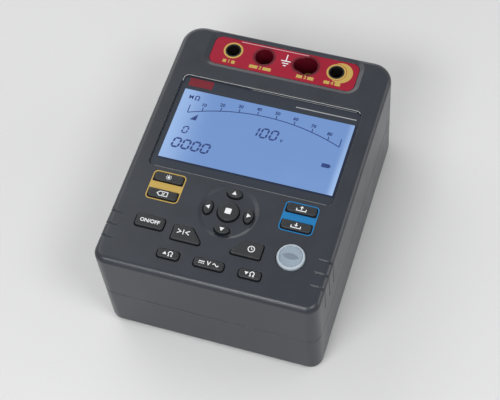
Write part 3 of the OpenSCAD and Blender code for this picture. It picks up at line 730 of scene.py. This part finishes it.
def sides(points, half):  # the two edges of a stroke, mitred at its bends
    left, right = [], []
    last = len(points) - 1
    for i, (x, y) in enumerate(points):
        before = Vector(points[max(i - 1, 0)])
        here = Vector((x, y))
        after = Vector(points[min(i + 1, last)])
        into = (here - before).normalized() if i else (after - here).normalized()
        out = (after - here).normalized() if i < last else into
        across = Vector((-into.y - out.y, into.x + out.x)).normalized()
        reach = half / max(printing["mitreLimit"], across.dot(Vector((-into.y, into.x))))
        left.append((x + across.x * reach, y + across.y * reach))
        right.append((x - across.x * reach, y - across.y * reach))
    return left, right


def arc(centre, radius, fromDeg, toDeg, count):
    turn = (toDeg - fromDeg) / count
    angles = [math.radians(fromDeg + turn * i) for i in range(count + 1)]
    return [(centre[0] + radius * math.cos(a), centre[1] + radius * math.sin(a)) for a in angles]


def circle(centre, radius, count=40):
    return arc(centre, radius, 0, 360, count)[:-1]


def roundBox(centre, width, length, radius, count=6):
    halfWide, halfLong = width / 2 - radius, length / 2 - radius
    loop = []
    for start, right, up in ((0, 1, 1), (90, -1, 1), (180, -1, -1), (270, 1, -1)):
        corner = (centre[0] + right * halfWide, centre[1] + up * halfLong)
        loop += arc(corner, radius, start, start + 90, count)
    return loop


def moved(loop, centre):
    return [(x + centre[0], y + centre[1]) for x, y in loop]


ohm = {"radius": 1.25, "rise": 0.35, "ends": (-52, 232), "count": 20, "foot": -1.35, "tail": 0.75}


def ohmSign(sheet, centre, scale, width):
    loop = arc((0, ohm["rise"]), ohm["radius"], *ohm["ends"], ohm["count"])
    reach, foot = abs(loop[0][0]), ohm["foot"]
    tail = reach + ohm["tail"]
    stroke = [(tail, foot), (reach, foot)] + loop + [(-reach, foot), (-tail, foot)]
    sheet.line(moved([(x * scale, y * scale) for x, y in stroke], centre), width)


def printed(name, look, colour, under):  # screen-printed ink: slightly uneven cover; the painted highlight and shadow lines on the lens use it too
    f = Finish(name)
    cover = f.noise(look["speckle"], detail=3)
    cloud = f.noise(look["cloud"])
    thin = cover.step(*look["thinSpan"]) * look["thinShare"]
    return f.principled({
        "Base Color": f.mix(thin, colour, under),
        "Roughness": look["rough"] + cloud.swing(look["roughSpread"]),
        "Specular IOR Level": look["shine"],
        "Normal": f.bump(cover, look["coverStrength"], look["coverDepth"]),
    })


plainInk = {
    "speckle": 0.0008,
    "thinSpan": (0.55, 0.8),
    "thinShare": 0.35,
    "cloud": 0.006,
    "rough": 0.45,
    "roughSpread": 0.12,
    "shine": 0.4,
    "coverStrength": 0.08,
    "coverDepth": 0.00002,
}
lensInk = {**plainInk, "speckle": 0.003, "rough": 0.22, "shine": 0.35}  # with the lens's gloss
inkColours = {  # kind of ink, its colour, and what shows where it is thin
    "white": (plainInk, ink(232, 234, 236), ink(130, 130, 134)),
    "yellow": (plainInk, ink(189, 159, 80), ink(152, 122, 52)),
    "blue": (plainInk, ink(10, 114, 174), ink(8, 88, 140)),
    # pale: the printed strip on the lens, and the painted highlights along its edges
    "pale": (plainInk, ink(170, 170, 170), ink(128, 126, 126)),
    "rose": (plainInk, ink(206, 160, 168), ink(170, 90, 104)),
    "button": (plainInk, ink(116, 128, 141), ink(132, 146, 160)),
    "border": (lensInk, ink(45, 51, 61), ink(40, 46, 55)),
    "badge": (lensInk, ink(122, 26, 40), ink(92, 18, 30)),
    # shade: the painted shadow line at the window's lower and right edges
    "shade": (lensInk, ink(20, 32, 56), ink(16, 26, 46)),
}
inks = {name: printed(name + "Ink", *row) for name, row in inkColours.items()}

# Coloured frames round the two key pairs on the face
keyFrame = {"line": 0.8, "radius": 3.1, "keyLip": 1.1, "keyGap": 0.65, "thick": 0.03}
faceTop = topOf("front_case")


def pairFrame(name, upper, lower, material):
    inset = keyFrame["keyLip"] - keyFrame["keyGap"]  # a key's lip hides under the face
    (left, upperFoot), (right, top) = ((c.x / mm, c.y / mm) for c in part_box(upper))
    foot, lowerTop = (c.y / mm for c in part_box(lower))
    centre = ((left + right) / 2, (top + foot) / 2)
    wide = right - left - 2 * inset
    length = top - foot - 2 * inset
    line = keyFrame["line"]
    sheet = Print(faceTop, keyFrame["thick"])
    sheet.band(
        roundBox(centre, wide + 2 * line, length + 2 * line, keyFrame["radius"]),
        roundBox(centre, wide, length, keyFrame["radius"] - line),
    )
    left, right = centre[0] - wide / 2, centre[0] + wide / 2
    high, low = upperFoot + inset, lowerTop - inset
    sheet.patch([(right, high), (left, high), (left, low), (right, low)])
    sheet.piece(name, caseBody, material, "case_plastic")


pairFrame("yellow_key_frame", "light_key", "clear_key", inks["yellow"])
pairFrame("blue_key_frame", "load_key", "save_key", inks["blue"])

# Rings round the black sockets, a crescent beside the last one, and a number on each bar
terminalMarks = {
    "thick": 0.03,
    "socketRadius": 5.65,
    "ringGap": 0.1,
    "ring": 1.3,
    "numberY": 75.6,
    "numberSize": 4.0,
    "numberWeight": 0.12,
    "bar": 2.7,
    "barGap": 1.9,
}
crescent = {"reach": 7.4, "ends": (-104, 104), "shift": 3.0, "outer": 8.7, "count": 28}
terminals = [  # number, middle and width of its bar
    ("1", -38.7, 9.0),
    ("2", -15.3, 16.0),
    ("3", 17.9, 12.6),
    ("4", 37.7, 12.0),
]
panelTop = topOf("terminal_panel")
yellowMarks = Print(panelTop, terminalMarks["thick"])
ringInner = terminalMarks["socketRadius"] + terminalMarks["ringGap"]
for name in ("socket_1", "socket_4"):
    centre = middle(name)
    yellowMarks.band(circle(centre, ringInner + terminalMarks["ring"]), circle(centre, ringInner))


def angleOf(point, centre):
    return math.degrees(math.atan2(point[1] - centre[1], point[0] - centre[0]))


hub = middle("socket_4")
innerArc = arc(hub, crescent["reach"], *crescent["ends"], crescent["count"])
outerHub = (hub[0] + crescent["shift"], hub[1])
outerEnds = [angleOf(point, outerHub) for point in (innerArc[0], innerArc[-1])]
outerArc = arc(outerHub, crescent["outer"], *outerEnds, crescent["count"])
yellowMarks.patch(outerArc[1:-1] + innerArc[::-1])
for text, x, width in terminals:
    y = terminalMarks["numberY"]
    yellowMarks.digits(text, terminalMarks["numberSize"], (x, y), terminalMarks["numberWeight"])
    for side in (-1, 1):
        bar = [(x + side * terminalMarks["barGap"], y), (x + side * width / 2, y)]
        yellowMarks.line(bar, terminalMarks["bar"])
yellowMarks.piece("panel_yellow_marks", caseBody, inks["yellow"], "panel_red")

earth = {"x": 0.9, "top": 91.8, "foot": 86.0, "step": 2.0, "widths": (7.0, 4.6, 2.2), "line": 0.8}
whiteMarks = Print(panelTop, terminalMarks["thick"])
stem = [(earth["x"], earth["top"]), (earth["x"], earth["foot"] + earth["line"] / 2)]
whiteMarks.line(stem, earth["line"])
for i, width in enumerate(earth["widths"]):
    y = earth["foot"] - i * earth["step"]
    whiteMarks.line([(earth["x"] - width / 2, y), (earth["x"] + width / 2, y)], earth["line"])
whiteMarks.piece("panel_white_marks", caseBody, inks["white"], "panel_red")

panelRule = {"points": ((-34.6, 94.6), (15.6, 94.6)), "wide": 0.6}
panelLine = Print(panelTop, terminalMarks["thick"])
panelLine.line(panelRule["points"], panelRule["wide"])
panelLine.piece("panel_line", caseBody, inks["rose"], "panel_red")
print("prints: key frames and terminal marks")

# Laid into the underside of the lens, one above the other: the front film of the display,
# a dark border, a bare plate, and lines: a printed strip, painted highlights and a painted shadow
lensPrint = {
    "thick": 0.04,
    "lift": 0.03,
    "filmLap": 1.2,
    "margin": 0.3,
    "corner": 3.6,
    "cornerSteps": 8,
}
cornerSteps = lensPrint["cornerSteps"]
lensLow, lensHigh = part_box("display_lens")
lensWide = (lensHigh.x - lensLow.x) / mm
lensLong = (lensHigh.y - lensLow.y) / mm
layer = lensPrint["thick"] + lensPrint["lift"]
filmLow = lensLow.z / mm + lensPrint["lift"]
borderLow = filmLow + layer
lineLow = borderLow + layer
film = Print(filmLow, lensPrint["thick"])
lap = 2 * lensPrint["filmLap"]
film.patch(roundBox(windowMid, windowWide + lap, windowLong + lap, window["corner"], cornerSteps))
film.piece("display_film", caseBody, lcdFinish, "lcd_glass")

border = Print(borderLow, lensPrint["thick"])
bare = 2 * lensPrint["margin"]
lensMid = middle("display_lens")
border.band(
    roundBox(lensMid, lensWide - bare, lensLong - bare, lensPrint["corner"], cornerSteps),
    roundBox(windowMid, windowWide, windowLong, window["corner"], cornerSteps),
)
border.piece("lens_border", caseBody, inks["border"], "lens_clear")

plate = {"centre": (-51.3, 51.8), "width": 17.6, "length": 6.8, "radius": 0.6}
badge = Print(lineLow, lensPrint["thick"])
badge.patch(roundBox(**plate))
badge.piece("lens_plate", caseBody, inks["badge"], "lens_clear")

# Pale lines: painted highlights along the lens's upper and lower edges and a printed strip; "shade"
# is the width of the painted shadow line
lensLines = {
    "rim": 0.9,
    "corner": 3.1,
    "top": 0.3,
    "topStart": -0.25,  # of the way from the middle to the side
    "foot": 0.22,
    "strip": ((19.2, 49.7), (62.6, 49.7)),
    "stripWide": 0.75,
    "shade": 1.5,
}
topHighlightY = lensHigh.y / mm - lensLines["rim"]
footHighlightY = lensLow.y / mm + lensLines["rim"]
lensSide = lensWide / 2 - lensLines["rim"] - lensLines["corner"]
# the top and foot lines are painted highlights of the lens edges, the strip between them is print
stripAndHighlights = Print(lineLow, lensPrint["thick"])
stripAndHighlights.line([(lensSide * lensLines["topStart"], topHighlightY), (lensSide, topHighlightY)], lensLines["top"])
stripAndHighlights.line(lensLines["strip"], lensLines["stripWide"])
stripAndHighlights.line([(-lensSide, footHighlightY), (lensSide, footHighlightY)], lensLines["foot"])
stripAndHighlights.piece("lens_strip_and_highlights", caseBody, inks["pale"], "lens_clear")

shade = Print(lineLow, lensPrint["thick"])  # painted shadow: a dark line at the window's lower and right edges
shadowLineX = window["right"] + lensLines["shade"] / 2
shadowLineY = window["foot"] - lensLines["shade"] / 2
shadowLineWay = [(window["left"], shadowLineY), (shadowLineX, shadowLineY), (shadowLineX, window["top"])]
shade.line(shadowLineWay, lensLines["shade"])
shade.piece("lens_painted_shadow_line", caseBody, inks["shade"], "lens_clear")

# A painted highlight: a pale line along the polished upper edge of the lens, where it catches the
# light
lensEdgeHighlight = {
    "rim": 0.45,
    "line": 0.5,
    "corner": 3.5,
    "leftTurn": (180, 90, 6),  # from, to and steps
    "rightTurn": (90, 30, 4),
    "tail": 6,
    "thick": 0.03,
}
edgeTop = lensHigh.y / mm - lensEdgeHighlight["rim"]
edgeSide = lensWide / 2 - lensEdgeHighlight["rim"]
turnX, turnY = edgeSide - lensEdgeHighlight["corner"], edgeTop - lensEdgeHighlight["corner"]
edgeHighlightLine = Print(lensHigh.z / mm, lensEdgeHighlight["thick"])
edgeHighlightLine.line(
    [(-edgeSide, edgeTop - lensEdgeHighlight["tail"])]
    + arc((-turnX, turnY), lensEdgeHighlight["corner"], *lensEdgeHighlight["leftTurn"])
    + arc((turnX, turnY), lensEdgeHighlight["corner"], *lensEdgeHighlight["rightTurn"]),
    lensEdgeHighlight["line"],
)
edgeHighlightLine.piece("lens_edge_highlight", caseBody, inks["pale"], "lens_clear")
print("prints: lens border, plate and lines")


def lcdSegments(name, look):  # switched cells let a little of the lamp through
    f = Finish(name)
    cloud = f.noise(look["cloud"])
    tone = f.mix(cloud, look["colour"], look["pale"])
    return f.principled({
        "Base Color": tone,
        "Roughness": look["rough"] + cloud * look["roughSpread"],
        "Specular IOR Level": look["shine"],
        "Emission Color": tone,
        "Emission Strength": look["glow"],
    })


segmentLook = {
    "colour": ink(28, 44, 92),
    "pale": ink(36, 56, 108),
    "glow": 0.5,
    "cloud": 0.004,
    "rough": 0.22,
    "roughSpread": 0.1,
    "shine": 0.35,
}

# What the display shows: an arc scale, a pointer and plain digits, measured from its own middle
display = {"thick": 0.02, "middle": (0.33, 14.72), "lean": 0.16, "segmentGap": 0.62}
dial = {
    "radius": 147.3,
    "peak": (0.6, 21.7),
    "ends": (-53.4, 56.6),
    "steps": 36,
    "line": 0.7,
    "ticks": (-43.8, -31.2, -18.4, -5.2, 8.2, 21.6, 35.2, 47.6),
    "tickFoot": 0.3,
    "tickTop": 3.0,
    "endTop": 6.2,
    "numberStep": 10,
    "numberRise": 5.0,
    "numberSize": 3.6,
    "numberWeight": 0.14,
    "pointer": ((-50.1, 6.3), (-45.4, 6.3), (-45.3, 11.6)),
}
shown = Print(filmLow + lensPrint["thick"], display["thick"])


def onGlass(x, y):
    return (display["middle"][0] + x, display["middle"][1] + y)


def dialAt(x, rise=0.0):
    peakX, peakY = dial["peak"]
    radius = dial["radius"] + rise
    height = math.sqrt(radius * radius - (x - peakX) ** 2)
    return onGlass(x, peakY - dial["radius"] + height)


firstX, lastX = dial["ends"]
stretch = (lastX - firstX) / dial["steps"]
shown.line([dialAt(firstX + stretch * i) for i in range(dial["steps"] + 1)], dial["line"])
for x in dial["ends"]:
    shown.line([dialAt(x, dial["tickFoot"]), dialAt(x, dial["endTop"])], dial["line"])
for i, x in enumerate(dial["ticks"]):
    shown.line([dialAt(x, dial["tickFoot"]), dialAt(x, dial["tickTop"])], dial["line"])
    number = str(dial["numberStep"] * (i + 1))
    shown.digits(number, dial["numberSize"], dialAt(x, dial["numberRise"]), dial["numberWeight"])
shown.patch([onGlass(*point) for point in dial["pointer"]])

segments = {  # ends of each stroke of a digit, in widths and half heights
    "a": ((0, 2), (1, 2)),
    "b": ((1, 2), (1, 1)),
    "c": ((1, 1), (1, 0)),
    "d": ((0, 0), (1, 0)),
    "e": ((0, 1), (0, 0)),
    "f": ((0, 2), (0, 1)),
}
litSegments = {"0": "abcdef", "1": "bc"}


def readout(text, corner, width, height, pitch, stroke):
    for i, digit in enumerate(text):
        for name in litSegments[digit]:
            start, stop = (Vector((u * width, v * height / 2)) for u, v in segments[name])
            way = (stop - start).normalized()
            side = Vector((-way.y, way.x)) * stroke / 2
            tip = way * stroke / 2
            inset = way * stroke * display["segmentGap"]
            loop = []
            for end, turn in ((start + inset, 1), (stop - inset, -1)):
                loop += [end + side * turn, end - tip * turn, end - side * turn]
            leaned = [(p.x + i * pitch + p.y * display["lean"], p.y) for p in loop]
            shown.patch([onGlass(*point) for point in moved(leaned, corner)])


readouts = [  # text, its lower left corner, and a digit's width, height, pitch and stroke
    ("0000", (-55.5, -17.9), 4.7, 7.2, 7.0, 1.4),
    ("0", (-52.2, -5.4), 3.4, 5.3, 4.0, 1.0),
    ("100", (-5.7, 4.6), 4.4, 7.4, 6.9, 1.3),
]
for row in readouts:
    readout(*row)
units = [  # letter, size, place and weight
    ("V", 3.6, (17.0, 5.2), 0.1),
    ("M", 4.6, (-54.8, 24.5), 0.05),
]
for letter, size, place, weight in units:
    shown.digits(letter, size, onGlass(*place), weight)
unitOhm = {"place": (-50.3, 24.5), "scale": 1.15, "width": 0.8}
ohmSign(shown, onGlass(*unitOhm["place"]), unitOhm["scale"], unitOhm["width"])
battery = [  # its body and its tip
    {"centre": (51.7, -6.1), "width": 5.6, "length": 3.2, "radius": 0.4, "count": 2},
    {"centre": (54.9, -6.1), "width": 0.8, "length": 1.4, "radius": 0.2, "count": 2},
]
for block in battery:
    shown.patch([onGlass(*point) for point in roundBox(**block)])
shown.piece("display_segments", caseBody, lcdSegments("lcdSegments", segmentLook), "lcd_glass")
print("prints: display scale and digits")

# Key legends: plain signs on the key tops, each riding on its own key
legend = {"thick": 0.03, "line": 0.62, "fine": 0.5, "weight": 0.1}


def pointAt(centre, radius, degrees):
    return arc(centre, radius, degrees, degrees, 1)[0]


lamp = {"disc": 0.9, "discSteps": 20, "rays": 8, "ray": (1.25, 2.0)}


def drawLamp(sheet, centre):
    sheet.patch(circle(centre, lamp["disc"], lamp["discSteps"]))
    for i in range(lamp["rays"]):
        turn = 360 / lamp["rays"] * i
        sheet.line([pointAt(centre, radius, turn) for radius in lamp["ray"]], legend["fine"])


tag = {
    "outer": [(-2.2, -1.9), (3.8, -1.9), (3.8, 1.9), (-2.2, 1.9), (-4.2, 0)],
    "inner": [(-1.9, -1.35), (3.25, -1.35), (3.25, 1.35), (-1.9, 1.35), (-3.35, 0)],
    "crossX": (-0.4, 1.5),
    "crossY": 0.8,
}


def drawTag(sheet, centre):
    sheet.band(moved(tag["outer"], centre), moved(tag["inner"], centre))
    (left, right), rise = tag["crossX"], tag["crossY"]
    for side in (-1, 1):
        stroke = [(left, -rise * side), (right, rise * side)]
        sheet.line(moved(stroke, centre), legend["fine"])


tray = {
    "outline": [(-3.2, 0.0), (-3.2, -1.7), (3.2, -1.7), (3.2, 0.0)],
    "stem": 0.7,
    "head": 1.4,
    "up": (-0.8, 0.7, 2.0),  # heights of the arrow's tail, neck and tip
    "down": (2.0, 0.5, -0.8),
}


def drawTray(way):
    def draw(sheet, centre):
        tail, neck, tip = tray[way]
        sheet.line(moved(tray["outline"], centre), legend["line"])
        sheet.line(moved([(0, tail), (0, neck)], centre), tray["stem"])
        sheet.patch(moved([(-tray["head"], neck), (tray["head"], neck), (0, tip)], centre))
    return draw


stopBlock = {"width": 4.2, "length": 4.2, "radius": 0.5, "count": 3}


def drawStop(sheet, centre):
    sheet.patch(roundBox(centre, **stopBlock))


switch = {"text": "ON/OFF", "size": 3.8}


def drawSwitch(sheet, centre):
    sheet.digits(switch["text"], switch["size"], centre, legend["weight"])


balance = {"far": 4.2, "near": 1.7, "rise": 1.5, "bar": 1.8}


def drawBalance(sheet, centre):
    far, near, rise = balance["far"], balance["near"], balance["rise"]
    for side in (-1, 1):
        stroke = [(far * side, rise), (near * side, 0), (far * side, -rise)]
        sheet.line(moved(stroke, centre), legend["line"])
    sheet.line(moved([(0, balance["bar"]), (0, -balance["bar"])], centre), legend["line"])


clock = {"outer": 2.4, "inner": 1.8, "steps": 28, "hands": [(0, 1.3), (0, 0), (0.95, -0.4)]}


def drawClock(sheet, centre):
    rim = [circle(centre, clock[edge], clock["steps"]) for edge in ("outer", "inner")]
    sheet.band(*rim)
    sheet.line(moved(clock["hands"], centre), legend["fine"])


ohms = {
    "shift": (1.6, 0),
    "scale": 1.1,
    "high": [(-3.6, -0.9), (-0.9, -0.9), (-2.25, 1.3)],
    "low": [(-3.6, 1.1), (-0.9, 1.1), (-2.25, -1.1)],
}


def drawOhms(way):
    def draw(sheet, centre):
        ohmSign(sheet, moved([ohms["shift"]], centre)[0], ohms["scale"], legend["line"])
        sheet.patch(moved(ohms[way], centre))
    return draw


volts = {
    "size": 4.2,
    "rise": 0.65,
    "bar": (-6.8, -2.8),
    "dashes": 3,
    "dash": 1.0,
    "dashStep": 1.5,
    "wave": (2.8, 4.0, 0.85),  # start, length and height
    "waveSteps": 16,
}


def drawVolts(sheet, centre):
    sheet.digits("V", volts["size"], centre, legend["weight"])
    rise, (left, right) = volts["rise"], volts["bar"]
    strokes = [[(left, rise), (right, rise)]]
    for i in range(volts["dashes"]):
        start = left + volts["dashStep"] * i
        strokes.append([(start, -rise), (start + volts["dash"], -rise)])
    start, length, height = volts["wave"]
    shares = [i / volts["waveSteps"] for i in range(volts["waveSteps"] + 1)]
    strokes.append([(start + length * s, height * math.sin(2 * math.pi * s)) for s in shares])
    for stroke in strokes:
        sheet.line(moved(stroke, centre), legend["line"])


arrow = {"radius": 1.85, "corners": 3}


def drawArrow(turn):
    def draw(sheet, centre):
        turns = [turn + 360 / arrow["corners"] * i for i in range(arrow["corners"])]
        sheet.patch([pointAt(centre, arrow["radius"], degrees) for degrees in turns])
    return draw


signs = {  # what is drawn on each key, and how far from its middle
    "light_key": (drawLamp, (0, 0)),
    "clear_key": (drawTag, (0, 0)),
    "load_key": (drawTray("up"), (0, 0)),
    "save_key": (drawTray("down"), (0, 0)),
    "up_key": (drawArrow(90), (0, -0.2)),
    "down_key": (drawArrow(270), (0, 0.2)),
    "left_key": (drawArrow(180), (0.2, 0)),
    "right_key": (drawArrow(0), (-0.2, 0)),
    "stop_key": (drawStop, (0, 0)),
    "power_key": (drawSwitch, (0, 0)),
    "compare_key": (drawBalance, (-2.6, 0.9)),
    "timer_key": (drawClock, (2.8, 0.5)),
    "insulation_key": (drawOhms("high"), (0, 0)),
    "voltage_key": (drawVolts, (0, 0)),
    "low_ohm_key": (drawOhms("low"), (0, 0)),
}
for name, (draw, shift) in signs.items():
    sheet = Print(topOf(name), legend["thick"])
    draw(sheet, moved([shift], middle(name))[0])
    sheet.piece(name + "_sign", name + "_body", inks["white"], "key_rubber")

# An eye shape in the dish of the test button, of two arcs
eye = {"reach": 5.7, "bend": 44, "count": 14, "dish": 0.15}
eyeX, eyeY = middle("test_button")
bend = math.radians(eye["bend"])
radius = eye["reach"] / math.sin(bend)
drop = radius * math.cos(bend)
upper, lower = (
    arc((eyeX, eyeY - drop * side), radius, top - eye["bend"], top + eye["bend"], eye["count"])
    for side, top in ((1, 90), (-1, 270))
)
testMark = Print(topOf("test_button") - eye["dish"], legend["thick"])
testMark.patch(upper + lower[1:-1])
testMark.piece("test_button_sign", "test_button_body", inks["button"], "test_plastic")
print("prints:", len(signs) + 1, "key signs")

# Pale floor and soft studio light
studio = {
    "floor": ink(226, 226, 226),
    "fibre": ink(218, 218, 219),
    "fibreSize": 0.002,
    "fibreShare": 0.4,
    "rough": 0.75,
    "shine": 0.2,
    "floorSize": 6.0,
    "fade": (0.4, 1.6),
    "white": (1, 1, 1, 1),
    "worldLight": 0.32,
    "worldSeen": 0.82,
    "aim": (0, 0, 0.05),  # of the softboxes
}


def seenDirectly(tree):  # 1 where a look, a mirror or glass shows it, 0 where it only gives light
    kinds = ("Is Camera Ray", "Is Glossy Ray", "Is Transmission Ray")
    cameraRay, glossyRay, clearRay = (tree.add("LightPath", out=kind) for kind in kinds)
    rays = cameraRay + glossyRay + clearRay
    return tree.add("Math", {"operation": "MINIMUM"}, {0: rays, 1: 1.0})


half = studio["floorSize"] / 2
corners = [(-half, -half, 0), (half, -half, 0), (half, half, 0), (-half, half, 0)]
floorMesh = bpy.data.meshes.new("floor")
floorMesh.from_pydata(corners, [], [range(len(corners))])
paper = Finish("floorPaper")
fibre = paper.noise(studio["fibreSize"], detail=3)
sheetLit = paper.add("BsdfPrincipled", {}, {
    "Base Color": paper.mix(fibre * studio["fibreShare"], studio["floor"], studio["fibre"]),
    "Roughness": studio["rough"],
    "Specular IOR Level": studio["shine"],
})
away = paper.vectors("LENGTH", paper.place, out="Value")
backdrop = paper.add("Emission", {}, {"Color": studio["white"], "Strength": studio["worldSeen"]})
fade = away.step(*studio["fade"]) * seenDirectly(paper)  # far off, it runs into the backdrop
surface = paper.add("MixShader", {}, {0: fade, 1: sheetLit, 2: backdrop})
floorMesh.materials.append(paper.close(surface))
floor = addObject("floor", floorMesh)

world = bpy.data.worlds.new("studio")
bpy.context.scene.world = world
world.use_nodes = True
sky = Nodes(world.node_tree)
level = studio["worldLight"] + seenDirectly(sky) * (studio["worldSeen"] - studio["worldLight"])
light = sky.add("Background", {}, {"Color": studio["white"], "Strength": level})
sky.add("OutputWorld", {}, {"Surface": light})

softboxes = [
    {"name": "topSoftbox", "place": (-0.9, 0.4, 1.15), "size": (0.8, 0.8), "power": 3.4},
    {"name": "frontSoftbox", "place": (-0.16, -0.78, 1.0), "size": (0.55, 0.3), "power": 5.6},
    {"name": "lowSoftbox", "place": (-0.1, -1.1, 0.62), "size": (0.4, 0.3), "power": 1.6},
    {"name": "cornerSoftbox", "place": (0.62, -0.32, 1.05), "size": (0.4, 0.4), "power": 4.0},
    {"name": "sideSoftbox", "place": (1.0, 0.42, 0.34), "size": (0.6, 0.4), "power": 1.9},
    {"name": "backSoftbox", "place": (-0.6, 1.0, 0.42), "size": (1.2, 0.45), "power": 3.4},
]


def lookingAt(target, place):
    return (Vector(target) - Vector(place)).to_track_quat("-Z", "Y")


for box in softboxes:
    area = bpy.data.lights.new(box["name"], "AREA")
    area.shape = "RECTANGLE"
    area.size, area.size_y = box["size"]
    area.energy = box["power"]
    holder = addObject(box["name"], area)
    holder.location = box["place"]
    holder.rotation_euler = lookingAt(studio["aim"], box["place"]).to_euler()

# The photographed view: where the camera stands, what it is aimed at and its tilt
view = {
    "place": (0.1963, -0.4533, 0.8501),
    "aim": (0.000, -0.006, 0.046),
    "roll": math.radians(-7.25),
    "sensor": 36,
    "focal": 1330,  # in pixels of an image of the width below
    "imageWidth": 500,
}
lensData = bpy.data.cameras.new("camera")
lensData.sensor_width = view["sensor"]
lensData.lens = view["sensor"] * view["focal"] / view["imageWidth"]
camera = addObject("camera", lensData)
camera.location = view["place"]
camera.rotation_mode = "QUATERNION"
tilt = Quaternion((0, 0, 1), view["roll"])
camera.rotation_quaternion = lookingAt(view["aim"], view["place"]) @ tilt
bpy.context.scene.camera = camera
bpy.context.scene.view_settings.view_transform = "Standard"
print("studio: floor, lights and camera placed")
